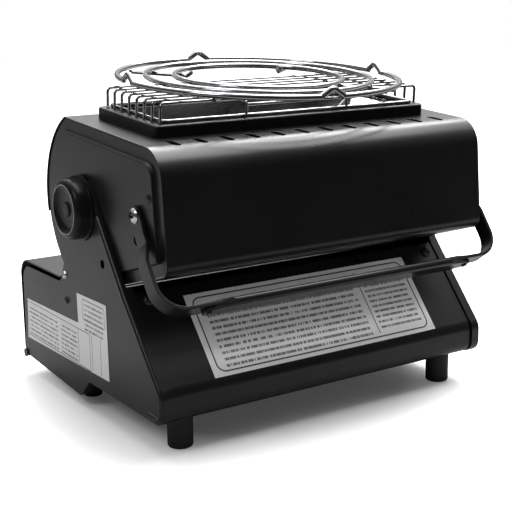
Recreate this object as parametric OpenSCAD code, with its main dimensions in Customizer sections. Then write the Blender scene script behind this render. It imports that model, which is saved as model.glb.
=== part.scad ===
// Gas cartridge heater and cooker: a tilting burner head on a folded steel base.
// The floor is z = 0, and the head turns about the line y = 0, z = pivot_z.
// +Y is the control side and -Y is the label side. Sizes are in millimetres.

/* [Base] */
// Width over the two side plates
body_w = 273; // [240:1:340]
// Thickness of the folded steel sheets
sheet_t = 1.2; // [0.8:0.1:1.6]
// Height of the head's pivot line above the floor
pivot_z = 149; // [140:1:180]
// Radius of the rounded top of each side plate's arm
arm_r = 23; // [18:1:26]
// Distance from the pivot line back to the foot of the sloped panel
base_back = 112; // [100:1:140]
// Height of the base's underside above the floor
base_z = 23; // [20:1:30]
// Height at which the sloped panel meets its upright foot
slope_low_z = 45; // [40:1:60]
// Distance from the pivot line back to the top of the sloped panel
slope_top_y = 64.3; // [58:0.1:72]
// Height of the top of the sloped panel
slope_top_z = 100.8; // [90:0.1:108]
// Width of the rolled edge along the back of each side plate, below the head
edge_roll = 7; // [4:0.5:10]

/* [Cartridge box] */
// Distance from the pivot line forward to the face of the cartridge box
box_front = 116; // [112:1:135]
// Height of the top of the cartridge box
box_top = 92.5; // [88:0.5:96]
// Height of the box's underside at its back edge
box_low = 8.5; // [7:0.5:10]
// Height of the box's underside at its front edge
box_low_front = 14.5; // [13:0.5:16]
// Radius of the box's upper front corner
box_r = 14; // [8:1:20]
// Radius of the gas cartridge that the bay is made for
cartridge_r = 34; // [30:0.5:35]
// Height of the cartridge's axis
cartridge_z = 51; // [49:0.5:54]
// Distance from the middle of the heater to the bay's end wall
bay_end = 61; // [40:1:70]

/* [Head] */
// Distance from a side plate's outer face to the raised middle of the head's end plate
head_room = 3; // [2.8:0.1:4]
// Radius of the round front of the head about the pivot line
head_r = 66.8; // [60:0.1:67]
// Height of the head's top sheet above the pivot line
head_top = 57.8; // [50:0.5:62]
// Radius of the head's upper back corner
head_r_top = 20; // [10:1:28]
// Angle that the head leans back at rest
head_lean = 4.2; // [0:0.1:8]
// Distance back from the pivot line to the head's upper back corner
head_back_top = 104.4; // [98:0.1:125]
// Distance back from the pivot line to the head's lower back corner
head_back_low = 116.2; // [105:0.1:130]
// Depth of the head's lower back corner below the pivot line
head_low_drop = 18.5; // [10:0.1:25]
// Slope of the head's underside, in degrees
head_under = 21.3; // [15:0.1:26]
// Number of vent slots
slot_count = 12; // [6:1:12]
// Distance between vent slots
slot_pitch = 20; // [14:0.5:21]
// Length of a vent slot
slot_l = 15; // [10:0.5:18]
// Width of a vent slot
slot_w = 4.6; // [3:0.1:6]

/* [Burner and guard] */
// Length of the raised bezel
bezel_l = 227; // [200:1:240]
// Width of the raised bezel
bezel_w = 86.5; // [76:0.1:88]
// Height of the raised bezel
bezel_h = 8.2; // [6:0.1:14]
// Distance from the pivot line forward to the bezel's front edge
bezel_front = 19.8; // [10:0.1:22]
// Height of the guard wires above the bezel
guard_h = 14.2; // [10:0.1:20]
// Number of long guard wires
guard_count = 8; // [5:1:10]
// Radius of the guard wires
guard_wire_r = 1; // [0.8:0.1:1.4]
// Radius of the guard's base frame wire
guard_frame_r = 1.3; // [1:0.1:1.8]
// Distance from the middle to each guard cross wire
cross_x = 42.5; // [20:0.5:60]
// Length of the ceramic burner face
plaque_l = 146; // [120:1:150]
// Width of the ceramic burner face
plaque_w = 58; // [50:1:62]

/* [Pan support] */
// Radius of the outer ring
ring_outer = 101.5; // [80:0.5:110]
// Radius of the middle ring
ring_middle = 81.5; // [60:0.5:90]
// Radius of the inner ring
ring_inner = 60.5; // [40:0.5:70]
// Radius of the ring wire
ring_wire_r = 2; // [1.5:0.1:2.5]
// Height of the four raised bumps above the ring
bump_h = 4.6; // [3:0.1:8]
// Turn of the bumps from the long direction, in degrees
bump_turn = -5; // [-20:1:20]

/* [Handle and knobs] */
// Distance from the handle's screws to the middle of its crossbar
handle_l = 68.4; // [60:0.1:74]
// Width of the handle strap
strap_w = 12.5; // [10:0.5:16]
// Thickness of the handle strap
strap_t = 2.5; // [1.5:0.1:3]
// Width of the handle's grip
grip_w = 17; // [14:0.5:20]
// Angle that the handle stands out from hanging straight down
handle_out = 35.8; // [30:0.1:50]
// Distance from the pivot line back to the handle's screws
handle_back = 80.3; // [76:0.1:86]
// Height of the handle's screws above the pivot line, on the head
handle_up = 12.9; // [8:0.1:20]
// Radius of the tilt knobs
tilt_knob_r = 21.5; // [18:0.5:24]
// Depth of the tilt knobs
tilt_knob_d = 12; // [10:0.5:18]
// Radius of the pivot bolts
bolt_r = 4; // [3:0.1:5]
// Radius of the control knob
control_r = 18; // [14:0.5:20]
// Depth of the control knob
control_d = 10.6; // [8:0.1:16]

/* [Feet] */
// Radius of the tall back feet
back_foot_r = 8.7; // [7:0.1:11]
// Distance from the middle to each back foot
back_foot_x = 113.4; // [90:0.1:118]
// Distance from the pivot line back to the back feet
back_foot_y = 91.4; // [85:0.1:96]
// Radius of the low front feet
front_foot_r = 7; // [5:0.5:9]
// Distance from the middle to each front foot
front_foot_x = 118; // [90:1:124]
// Distance from the pivot line forward to the front feet
front_foot_y = 32; // [25:1:60]

/* [Hidden] */
$fn = 64;
bend_step = 15;      // largest turn between two points of a rounded corner
run_gap = 0.05;      // radial clearance of a turning fit
part_gap = 0.3;      // clearance between bodies that pass each other
seam_gap = 0.2;      // gap between sheets of one body
wire_lap = 0.3;      // how far a wire's straight run enters its bend
wire_step = 0.02;    // how much thinner the straight run is, so that it ends inside the bend
plate_x = body_w / 2;
plate_in = plate_x - sheet_t;
inner_w = 2 * plate_in - 2 * seam_gap;
pan_from = -base_back + 33;        // the base pan's back edge
box_lid_in = box_front - sheet_t;
box_end_front = box_lid_in - 0.6;
box_end_top = box_top - sheet_t - 0.6;
deck_r = head_r + 3.5;
deck_inset = 7.9;    // distance of the deck's back end from the side plates' back edge
deck_from = let (centre_side = -arm_r + deck_inset, reach = deck_r + sheet_t,
        along = unit([-slope_top_y, slope_top_z] - polar([0, pivot_z], arm_r, 143.4)),
        start = left_of(along) * centre_side + along * sqrt(reach * reach - centre_side * centre_side))
    atan2(start[1], start[0]);
deck_to = -57;
wall_y = (deck_r + sheet_t) * cos(deck_to) - sheet_t;
lid_back = wall_y + sheet_t + 0.5;
cartridge_y = (wall_y + sheet_t + box_lid_in) / 2;
hinge_y = box_front - 3;
hinge_z = box_low_front + 0.7;
hinge_pin_r = 2;
flange_y = hinge_y - 8;           // the base pan's front flange, and its top
flange_top = box_low_front + 9;
head_x = plate_x - head_room;
plate_rise = 2.6;    // how far an end plate's middle stands out of its rim
plate_rim = 9;       // width of an end plate's rim
rim_x = head_x - plate_rise;
shell_w = 2 * rim_x + 1.8;
slot_row_y = -82.6;
burner_y = bezel_front - bezel_w / 2;
bezel_top = head_top + bezel_h;
guard_in = 5.6;      // inset of the guard's base frame from the bezel's edge
guard_half_w = bezel_w / 2 - guard_in;
guard_half_l = bezel_l / 2 - 8.2;
guard_top = bezel_top + guard_h;
bezel_lip = 7;       // width of the bezel's top lip
reflector_t = 0.8;
reflector_depth = 24;
reflector_end_l = 150;
reflector_end_w = 62;
plaque_t = 12;
plaque_top = bezel_top - reflector_depth - 1;
box_floor_v = 10;    // height of the burner box's floor above the pivot line
venturi_r = 8;
venturi_v = 20;
swivel_x = 112;
tube_r = 3;
tube_turn = -120;    // direction from which the gas tube comes up to the pivot line
swivel_pin_r = 3;
swivel_half = 5.2;   // half the gap between the two swivel rings
swivel_t = 5.6;      // length of a swivel ring
spoke_r = 1.5;
ring_v = guard_top + part_gap + 2 * spoke_r + ring_wire_r - 0.2;
ring_y = burner_y + 10.6;
handle_x = plate_x + 4.3;
handle_x_in = head_x + part_gap + 0.2 + strap_t / 2;
valve_x = 100;
regulator_end = bay_end + sheet_t + 22.4;
valve_z = 42;
lever_pivot = [99, 72];
lever_reach = 25;
finger_l = 18;
finger_r = 4;
fork_travel = 8;
screw_r = 2.5;

// ---- Outlines ----

function unit(v) = v / norm(v);
function left_of(v) = [-v[1], v[0]];
function flat(p) = [p[0], p[1]];
function polar(c, r, angle) = c + r * [cos(angle), sin(angle)];
function reversed(pts) = [for (i = [len(pts) - 1:-1:0]) pts[i]];
function arc(c, r, from, to, steps) = [for (i = [0:steps]) polar(c, r, from + (to - from) * i / steps)];

// The arc of radius r that rounds the corner p between a and b
function corner(a, p, b, r) =
    let (u = unit(a - p), v = unit(b - p))
    r <= 0 || abs(u * v) > 0.9999 ? [p] :
    let (half = acos(u * v) / 2,
         c = p + unit(u + v) * r / sin(half),
         start = p + u * r / tan(half) - c,
         from = atan2(start[1], start[0]),
         turn = (180 - 2 * half) * (cross(u, v) > 0 ? -1 : 1))
    arc(c, r, from, from + turn, max(2, ceil(abs(turn) / bend_step)));

// A closed outline from corners [y, z, radius]
function rounded(pts) = [for (i = [0:len(pts) - 1])
    each corner(flat(pts[(i + len(pts) - 1) % len(pts)]), flat(pts[i]), flat(pts[(i + 1) % len(pts)]),
        pts[i][2])];

// An open path from corners [y, z, radius], whose two ends stay sharp
function bent(pts) = [for (i = [0:len(pts) - 1])
    each i == 0 || i == len(pts) - 1 ? [flat(pts[i])] :
        corner(flat(pts[i - 1]), flat(pts[i]), flat(pts[i + 1]), pts[i][2])];

// The mitred offset of one point, d to the left of the path before -> p -> after
function beside(before, p, after, d) =
    let (a = left_of(unit(p - before)), b = left_of(unit(after - p)), m = unit(a + b))
    p + m * d / (m * a);
function beside_open(path, d) = [for (i = [0:len(path) - 1])
    beside(i == 0 ? 2 * path[0] - path[1] : path[i - 1], path[i],
        i == len(path) - 1 ? 2 * path[i] - path[i - 1] : path[i + 1], d)];

// A sheet's section: an open path given thickness t to its left
function sheet(path, t) = concat(path, reversed(beside_open(path, t)));

// ---- Placing ----

// Stands a flat (y, z) drawing up so that it is extruded along X
module along_x() { rotate([90, 0, 90]) children(); }
module folded(path, t, w) { along_x() linear_extrude(w, center = true) polygon(sheet(path, t)); }
module plate_at(x, t, outline) { translate([x, 0, 0]) along_x() linear_extrude(t) polygon(outline); }
module rod_x(x, y, z, r, l) { translate([x, y, z]) rotate([0, 90, 0]) cylinder(h = l, r = r); }
module both_ends() { children(); mirror([1, 0, 0]) children(); }
// The head's own frame: its origin is the pivot line and its top is level
module on_head() { translate([0, 0, pivot_z]) rotate([head_lean, 0, 0]) children(); }
// The handle's own frame: its screws' line is the origin and its arms hang along -Z
module on_handle() {
    on_head() translate([0, -handle_back, handle_up]) rotate([-handle_out - head_lean, 0, 0]) children();
}

// A round wire of radius r in the XY plane along a path of points, bent to radius bend at each corner
module wire(path, r, bend) {
    last = len(path) - 1;
    for (i = [0:last - 1]) {
        a = path[i];
        b = path[i + 1];
        dir = unit(b - a);
        trim_a = i == 0 ? 0 : bend_trim(path, i, bend) - wire_lap;
        trim_b = i == last - 1 ? 0 : bend_trim(path, i + 1, bend) - wire_lap;
        translate(a + dir * trim_a) rotate([0, 0, atan2(dir[1], dir[0])]) rotate([0, 90, 0])
            cylinder(h = norm(b - a) - trim_a - trim_b, r = r - wire_step, $fn = 24);
    }
    for (i = [1:1:last - 1]) wire_bend(path[i - 1], path[i], path[i + 1], r, bend);
}
function bend_half(path, i) = acos(unit(path[i - 1] - path[i]) * unit(path[i + 1] - path[i])) / 2;
function bend_trim(path, i, bend) = bend / tan(bend_half(path, i));
module wire_bend(a, p, b, r, bend) {
    u = unit(a - p);
    v = unit(b - p);
    half = acos(u * v) / 2;
    c = p + unit(u + v) * bend / sin(half);
    first = cross(u, v) > 0 ? v : u;
    start = p + first * bend / tan(half) - c;
    translate(c) rotate([0, 0, atan2(start[1], start[0])])
        rotate_extrude(angle = 180 - 2 * half, $fn = 48) translate([bend, 0]) circle(r, $fn = 24);
}

// ---- Base ----

function side_outline() = concat(
    rounded_run([
        [-base_back, base_z, 10],
        [-2, base_z, 3],
        [12, box_low, 6],
        [box_end_front, box_low_front, 9],
        [box_end_front, box_end_top, box_r - 2],
        [38, box_end_top, 4],
        [31.3, 104.6, 20]]),
    [[25.5, 121.8]],
    arc([0, pivot_z], arm_r, 0, 143.4, 12),
    bent([[-slope_top_y, slope_top_z, 0], [-base_back, slope_low_z, 12], [-base_back, base_z + 12, 0]]));

// A run of corners that belongs to a longer outline: its first and last neighbours are its own ends
function rounded_run(pts) = [for (i = [0:len(pts) - 1])
    each corner(i == 0 ? [-base_back, slope_low_z] : flat(pts[i - 1]), flat(pts[i]),
        i == len(pts) - 1 ? [25.5, 121.8] : flat(pts[i + 1]), pts[i][2])];

// Beside the head the rolled edge is only as wide as the head's clearance leaves. It widens below the
// head's underside, which it passes at roll_start.
roll_narrow = plate_x - head_x - part_gap;
function leaned(p) = [p[0] * cos(head_lean) - p[1] * sin(head_lean),
    p[0] * sin(head_lean) + p[1] * cos(head_lean)];
function below_head(p) = cross(p - [0, pivot_z] - leaned(head_corners[2]),
    leaned(unit(head_corners[3] - head_corners[2])));
function roll_start() =
    let (a = polar([0, pivot_z], arm_r, 143.4), b = [-slope_top_y, slope_top_z],
        share = (2 * part_gap - below_head(a)) / (below_head(b) - below_head(a)))
    a + (b - a) * share;
function wide_edge() = concat([roll_start()], [for (i = [3:len(back_edge()) - 1]) back_edge()[i]]);

// The back edge of a side plate, from the arm's top down to the bottom corner
function back_edge() = concat(
    [polar([0, pivot_z], arm_r, 120)],
    [polar([0, pivot_z], arm_r, 132)],
    [polar([0, pivot_z], arm_r, 143.4)],
    bent([[-slope_top_y, slope_top_z, 0], [-base_back, slope_low_z, 12], [-base_back, base_z, 10],
        [pan_from - 0.5, base_z, 0]]));

module side_plate() {
    difference() {
        union() {
            plate_at(plate_in, sheet_t, side_outline());
            plate_at(plate_x - roll_narrow, roll_narrow, sheet(back_edge(), sheet_t));
            plate_at(plate_x - edge_roll, edge_roll, sheet(wide_edge(), sheet_t));
        }
        rod_x(plate_in - 1, 0, pivot_z, bolt_r + run_gap, sheet_t + 2);
        rod_x(plate_in - 1, -32.2, 115.2, 3, sheet_t + 2);
        rod_x(plate_in - 1, hinge_y, hinge_z, hinge_pin_r, sheet_t + 2);
    }
}
module left_side_plate() { color("#26272a") mirror([1, 0, 0]) side_plate(); }
module right_side_plate() { color("#26272a") side_plate(); }

module back_panel() {
    inset = 1.6;
    top = [-slope_top_y + inset, slope_top_z];
    color("#1f2022") folded(bent([
        [-base_back + inset + 30, base_z + seam_gap, 0],
        [-base_back + inset, base_z + seam_gap, 9],
        [-base_back + inset, slope_low_z, 12],
        [top[0], top[1], 3],
        [top[0] + 7.5, top[1] + 1.9, 0]]), -sheet_t, 2 * (plate_x - edge_roll - 0.4));
}

module base_pan() {
    z_back = base_z + seam_gap;
    color("#1f2022") difference() {
        folded(bent([
            [pan_from, z_back, 0],
            [-2, z_back, 3],
            [12, box_low + seam_gap, 6],
            [flange_y, box_low_front - 0.2, 2],
            [flange_y, flange_top, 0]]), sheet_t, inner_w);
        for (x = [-60:30:60]) translate([x, -40, base_z - 5]) cylinder(h = 10, r = 3);
    }
}

module deck() {
    color("#1c1d1f") difference() {
        folded(arc([0, pivot_z], deck_r + sheet_t, deck_from, deck_to, 20), sheet_t, inner_w);
        on_tube_way() cylinder(h = deck_r + 10, r = tube_r + 3);
    }
}
// The straight way along which the gas tube comes up through the deck to the pivot line
module on_tube_way() {
    translate([swivel_x, 0, pivot_z]) rotate([tube_turn - 90, 0, 0]) children();
}

module bay_wall() {
    wall_low = box_low + 3.4;
    wall_high = pivot_z - sqrt(pow(deck_r + sheet_t, 2) - wall_y * wall_y) - seam_gap;
    color("#1c1d1f") difference() {
        translate([-inner_w / 2, wall_y, wall_low]) cube([inner_w, sheet_t, wall_high - wall_low]);
        translate([swivel_x, wall_y - 1, valve_z]) rotate([-90, 0, 0]) cylinder(h = sheet_t + 2, r = tube_r + 1);
    }
}

// The end wall steps over the base pan's front flange and carries the lid's inner hinge pin
module bay_end_wall() {
    gap = part_gap + 0.1;
    color("#1c1d1f") difference() {
        plate_at(bay_end, sheet_t, concat(
            [[wall_y + sheet_t + seam_gap, 14], [flange_y - sheet_t - gap, 17.5],
                [flange_y - sheet_t - gap, flange_top + gap], [flange_y + gap, flange_top + gap],
                [flange_y + gap, hinge_z - hinge_pin_r - 0.9]],
            arc([hinge_y, hinge_z], hinge_pin_r + 0.9, -90, 0, 6),
            [[box_lid_in - gap, hinge_z + 2.2]],
            rounded_run_top(box_lid_in - gap, box_top - sheet_t - gap, box_r - sheet_t),
            [[wall_y + sheet_t + seam_gap, box_top - sheet_t - gap]]));
        rod_x(bay_end - 1, cartridge_y, cartridge_z, 12, sheet_t + 2);
        translate([bay_end - 1, cartridge_y + 14, cartridge_z + 4.6]) cube([sheet_t + 2, 12, 4.8]);
        rod_x(bay_end - 1, hinge_y, hinge_z, hinge_pin_r, sheet_t + 2);
    }
}
// The rounded upper front corner of a plate inside the box
function rounded_run_top(y, z, r) = corner([y, 0], [y, z], [0, z], r);

// The section that the lid and the control panel share: the box's top, corner and front
function cover_path(low, from) = bent([
    [box_front, low, 0],
    [box_front, box_top, box_r],
    [from, box_top, 0]]);

module control_panel() {
    x0 = bay_end + sheet_t + seam_gap;
    x1 = plate_x;
    color("#232427") difference() {
        translate([(x0 + x1) / 2, 0, 0]) folded(cover_path(box_low_front + 6, lid_back), sheet_t, x1 - x0);
        translate([valve_x, box_front - 4, valve_z]) rotate([-90, 0, 0]) cylinder(h = 8, r = 8);
        translate([lever_pivot[0] - lever_reach - 2.4, box_front - 4, lever_pivot[1] - 18])
            cube([10.4, 8, 22]);
    }
}

// The height of the base pan's upper face under the cartridge
function pan_top(y) = box_low + seam_gap + sheet_t * 1.1 + (box_low_front - box_low) * (y - 12) / (hinge_y - 20);
module cartridge_cradle() {
    color("#8d9093") difference() {
        for (x = [-108, -62, 0]) plate_at(x, sheet_t, [
            [cartridge_y - 24, pan_top(cartridge_y - 24) + 0.1],
            [cartridge_y + 24, pan_top(cartridge_y + 24) + 0.1],
            [cartridge_y + 24, 22],
            [cartridge_y - 24, 22]]);
        rod_x(-plate_x, cartridge_y, cartridge_z, cartridge_r + 0.5, body_w);
    }
}

module back_feet() {
    color("#232426") both_ends() translate([back_foot_x, -back_foot_y, 0]) {
        cylinder(h = 1.5, r1 = back_foot_r - 1.2, r2 = back_foot_r);
        translate([0, 0, 1.5]) cylinder(h = base_z - 1.5, r = back_foot_r);
    }
}
module front_feet() {
    color("#232426") both_ends() translate([front_foot_x, front_foot_y, 0]) {
        cylinder(h = 1.2, r1 = front_foot_r - 1, r2 = front_foot_r);
        translate([0, 0, 1.2]) cylinder(h = box_low - 0.7, r = front_foot_r);
    }
}
module foot_screws() {
    color("silver") both_ends() {
        translate([back_foot_x, -back_foot_y, base_z + sheet_t + seam_gap]) cylinder(h = 3, r = 4);
        translate([front_foot_x, front_foot_y, box_low + sheet_t + 1.8]) cylinder(h = 3, r = 4);
    }
}

// A domed screw head whose seat is at the origin and which stands up along +Z
module screw_head(r, h) {
    difference() {
        intersection() {
            cylinder(h = h, r = r);
            translate([0, 0, h - (r * r + h * h) / (2 * h)]) sphere((r * r + h * h) / (2 * h));
        }
        for (turn = [0, 90]) rotate([0, 0, turn + 20]) translate([-r * 0.5, -r * 0.1, h * 0.45])
            cube([r, r * 0.2, h]);
    }
}
module side_screw(y, z, r, h) {
    both_ends() translate([plate_x, y, z]) rotate([0, 90, 0]) screw_head(r, h);
}
module bright_side_screws() { color("#d8dadc") side_screw(30.7, 95.1, 3.6, 2.4); }
module dark_side_screws() { color("#161618") side_screw(29.4, 76.7, 3, 1.6); }

// The sloped panel's outer face: x across, y up the slope from its lower bend
module on_slope() {
    run = [base_back - slope_top_y, slope_top_z - slope_low_z];
    translate([0, -base_back + 1.6, slope_low_z]) rotate([atan2(run[1], run[0] - 0.4), 0, 0]) children();
}
module panel_screws() {
    color("#161618") both_ends() on_slope() translate([121, 66, 0.4]) screw_head(4, 2.2);
}
module panel_label() {
    color("#c9cbcd") on_slope() translate([-95.5, 3.5, 0.05]) cube([191, 61.5, 0.35]);
}
module side_label() {
    outline = [[-36, 33], [107, 29.5], [104.5, 61.5], [10.8, 64], [11.3, 86], [-35.2, 87]];
    color("#c9cbcd") plate_at(-plate_x - 0.3, 0.25, outline);
}
module lid_hinge_pins() {
    color("#8d9093") {
        rod_x(-plate_x - 1.2, hinge_y, hinge_z, hinge_pin_r, 5.6);
        rod_x(-plate_x - 1.2, hinge_y, hinge_z, hinge_pin_r + 1.3, 1.1);
        rod_x(bay_end - 4.2, hinge_y, hinge_z, hinge_pin_r, 6);
    }
}

module regulator() {
    x = bay_end + sheet_t;
    color("#b7b9bb") difference() {
        union() {
            rod_x(x - 5, cartridge_y, cartridge_z, 11.6, 6);
            rod_x(x + 0.4, cartridge_y, cartridge_z, 15, 17);
            rod_x(x + 17.4, cartridge_y, cartridge_z, 9, 5);
        }
        rod_x(x - 6, cartridge_y, cartridge_z, 7, 9);
    }
}
module gas_valve() {
    color("#b9a264") {
        translate([valve_x - 11, cartridge_y - 4, valve_z - 10]) cube([22, 22, 20]);
        translate([valve_x, cartridge_y + 18, valve_z]) rotate([-90, 0, 0]) difference() {
            cylinder(h = 7, r = 6.5);
            translate([0, 0, -1]) cylinder(h = 9, r = 3 + run_gap);
        }
        rod_x(regulator_end + 0.1, cartridge_y, valve_z + 4, 4, valve_x - 11 - regulator_end);
        translate([swivel_x - 7, cartridge_y - 3, valve_z - 4]) cube([11, 8, 8]);
        translate([swivel_x, cartridge_y - 7, valve_z]) rotate([-90, 0, 0]) cylinder(h = 4, r = tube_r + 1);
    }
}
module piezo_igniter() {
    color("#2b2b2e") translate([valve_x - 8, cartridge_y - 6, valve_z - 22]) cube([16, 20, 11.8]);
}

// The gas tube lies in one plane: out of the valve, under the deck and straight up to the pivot line,
// where its cross pin carries the head's two swivel rings
module gas_tube() {
    knee = polar([0, pivot_z], (valve_z - pivot_z) / sin(tube_turn), tube_turn);
    color("#b9a264") {
        translate([swivel_x, 0, 0]) along_x() wire([
            [cartridge_y - 7, valve_z], knee, [0, pivot_z]], tube_r, 12);
        rod_x(swivel_x - swivel_half + part_gap, 0, pivot_z, 5, 2 * (swivel_half - part_gap));
        rod_x(swivel_x - swivel_half - swivel_t + 0.4, 0, pivot_z, swivel_pin_r, 2 * (swivel_half + swivel_t) - 0.8);
    }
}
module tube_grommet() {
    color("#161617") on_tube_way() translate([0, 0, deck_r - 2]) difference() {
        cylinder(h = 5, r = tube_r + 2.8);
        translate([0, 0, -1]) cylinder(h = 7, r = tube_r);
    }
}

module control_dial() {
    color("#8d9093") translate([valve_x, box_front + 0.05, valve_z]) rotate([-90, 0, 0]) difference() {
        cylinder(h = 0.6, r = control_r + 3);
        translate([0, 0, -1]) cylinder(h = 3, r = 8);
    }
}

// ---- Parts that move on the base ----

module cartridge_lid() {
    x0 = -plate_x;
    x1 = bay_end + sheet_t - part_gap;
    ear = [[box_lid_in + 0.2, hinge_z - 1], [box_lid_in + 0.2, 30], [box_lid_in - 1.4, 30],
        [hinge_y - 3, hinge_z + 2], [hinge_y - 3, hinge_z - 2.4], [hinge_y + 1, hinge_z - 3]];
    color("#26272a") difference() {
        union() {
            translate([(x0 + x1) / 2, 0, 0])
                folded(cover_path(hinge_z + 3.4, lid_back), sheet_t, x1 - x0);
            for (x = [-plate_in + part_gap, bay_end - part_gap - sheet_t]) plate_at(x, sheet_t, ear);
        }
        for (x = [-plate_in - 1, bay_end - 6]) rod_x(x, hinge_y, hinge_z, hinge_pin_r + run_gap, 8);
    }
}
module lid_tab() {
    color("#26272a") translate([-38, box_front + 0.02, 62]) difference() {
        cube([44, 5, 9]);
        translate([-1, 1.4, -1]) cube([46, 5, 8.4]);
    }
}

// The lever's plate lies behind the control panel: its tab comes out through the slot
module cartridge_lever() {
    y = box_front - 9;
    tip = [lever_pivot[0] - lever_reach, lever_pivot[1]];
    color("#3a3b3e") {
        translate([0, y, 0]) rotate([90, 0, 0]) linear_extrude(1.6) difference() {
            union() {
                translate(lever_pivot) circle(7);
                translate([tip[0] - 2, lever_pivot[1] - 4]) square([lever_reach, 8]);
                translate([lever_pivot[0] - 2.5, lever_pivot[1] - finger_l]) square([5, finger_l - 3]);
                translate([lever_pivot[0], lever_pivot[1] - finger_l]) circle(finger_r);
            }
            translate(lever_pivot) circle(2.5 + run_gap);
        }
        translate([tip[0] - 1.4, y - 1, tip[1] - 3]) cube([2.8, 12, 6]);
        translate([tip[0] - 5, box_front + 1, tip[1] - 4]) cube([10, 9, 8]);
    }
}
module lever_pin() {
    color("#b9bbbd") translate([lever_pivot[0], box_front - 14, lever_pivot[1]]) rotate([-90, 0, 0])
        cylinder(h = 13.8 - sheet_t, r = 2.5);
}

// The fork pushes the cartridge's collar: its arm runs through the end wall to the lever's finger
module cartridge_fork() {
    x = bay_end - fork_travel - 2.4;
    arm_z = cartridge_z + 5.2;
    end_x = lever_pivot[0] + finger_r + 0.6;
    color("#8d9093") {
        difference() {
            plate_at(x, 1.6, [
                [cartridge_y - 24, cartridge_z - 10], [cartridge_y + 26, cartridge_z - 10],
                [cartridge_y + 26, cartridge_z + 20], [cartridge_y - 24, cartridge_z + 20]]);
            rod_x(x - 1, cartridge_y, cartridge_z, 17, 4);
            translate([x - 1, cartridge_y - 17, cartridge_z - 30]) cube([4, 34, 30]);
        }
        translate([x, cartridge_y + 15, arm_z]) cube([end_x + 1.6 - x, 10, 1.6]);
        for (side_x = [end_x, lever_pivot[0] - finger_r - 2.2])
            translate([side_x, cartridge_y + 19, lever_pivot[1] - finger_l - 3.6])
                cube([1.6, box_front - 8.6 - cartridge_y - 19, 7.2]);
    }
}

module control_knob() {
    y = box_front + 0.65 + part_gap + 0.05;
    color("#1c1c1e") translate([valve_x, y, valve_z]) rotate([-90, 0, 0]) difference() {
        union() {
            cylinder(h = 3, r = control_r);
            translate([0, 0, 3]) cylinder(h = control_d - 4.4, r1 = control_r - 1.5, r2 = control_r - 2.5);
            translate([-3.5, -control_r + 3, 4]) cube([7, 2 * control_r - 6, control_d - 4]);
        }
        translate([0, 0, -1]) cylinder(h = 8, r = 3);
    }
}
module valve_stem() {
    color("#b9a264") translate([valve_x, cartridge_y + 19, valve_z]) rotate([-90, 0, 0])
        cylinder(h = box_front + 6.9 - cartridge_y - 19, r = 3);
}

// ---- Head ----

// The head's four corners in its own frame, and their roundings
head_corners = [[0, head_top], [-head_back_top, head_top], [-head_back_low, -head_low_drop],
    [-head_back_low + 50 * cos(head_under), -head_low_drop - 50 * sin(head_under)]];
head_corner_r = [0, head_r_top, 9];
function head_corner(i, inset) = beside(head_corners[i - 1], head_corners[i], head_corners[i + 1], inset);
// The angle at which the underside meets the round front, both moved inward by inset
function under_angle(inset) =
    let (reach = cross(unit(head_corners[3] - head_corners[2]), -head_corners[2]))
    -90 - head_under - acos((reach - inset) / (head_r - inset));
function top_angle(inset) = asin((head_top - inset) / (head_r - inset));
function rounded_back(inset) =
    let (top = head_corner(1, inset), low = head_corner(2, inset))
    concat(corner([0, top[1]], top, low, max(head_corner_r[1] - inset, 3)),
        corner(top, low, polar([0, 0], head_r - inset, under_angle(inset)), max(head_corner_r[2] - inset, 3)));
function head_outline(inset) = concat(
    arc([0, 0], head_r - inset, under_angle(inset), top_angle(inset), 40), rounded_back(inset));
// The sheet's path, from the front's lower edge over the top and round the back to the underside
function shell_path() = concat(
    arc([0, 0], head_r, -15, top_angle(0), 12), rounded_back(0), [polar([0, 0], head_r, under_angle(0))]);

module head_shell() {
    first_slot = -(slot_count - 1) / 2 * slot_pitch;
    color("#222326") on_head() difference() {
        folded(shell_path(), sheet_t, shell_w);
        translate([-bezel_l / 2 + 4, bezel_front - bezel_w + 4, head_top - 10])
            cube([bezel_l - 8, bezel_w - 8, 20]);
        for (i = [0:slot_count - 1]) translate([first_slot + i * slot_pitch, slot_row_y, head_top - 10])
            linear_extrude(20) {
                square([slot_w, slot_l - slot_w], center = true);
                for (side = [-1, 1]) translate([0, side * (slot_l - slot_w) / 2]) circle(slot_w / 2, $fn = 24);
            }
        translate([104, -88, -40]) linear_extrude(30) square([14, 3.4], center = true);
    }
}

module end_plate() {
    on_head() difference() {
        union() {
            plate_at(rim_x - sheet_t, sheet_t, head_outline(sheet_t + seam_gap));
            plate_at(rim_x - 0.5, plate_rise + 0.5, head_outline(plate_rim));
        }
        plate_at(rim_x - sheet_t - 1, plate_rise + 1, head_outline(plate_rim + sheet_t));
        rod_x(rim_x - 3, 0, 0, bolt_r + seam_gap, 10);
        rod_x(rim_x - 3, -handle_back, handle_up, screw_r + 0.1, 10);
        rod_x(rim_x - 3, -77.3, -4.6, 3, 10);
    }
}
module left_end_plate() { color("#2b2c2f") mirror([1, 0, 0]) end_plate(); }
module right_end_plate() { color("#2b2c2f") end_plate(); }

// A rounded rectangle round the burner's middle, in the head's top plane
module burner_rect(l, w, r) {
    translate([0, burner_y]) polygon(rounded([
        [-l / 2, -w / 2, r], [l / 2, -w / 2, r], [l / 2, w / 2, r], [-l / 2, w / 2, r]]));
}
module bezel() {
    color("#1d1e20") on_head() translate([0, 0, head_top + 0.02]) difference() {
        linear_extrude(bezel_h - 0.02) burner_rect(bezel_l, bezel_w, 5);
        translate([0, 0, -1]) linear_extrude(bezel_h - sheet_t + 0.98)
            burner_rect(bezel_l - 2 * sheet_t, bezel_w - 2 * sheet_t, 4);
        linear_extrude(bezel_h + 1) burner_rect(bezel_l - 2 * bezel_lip, bezel_w - 2 * bezel_lip, 2);
    }
}

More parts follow.
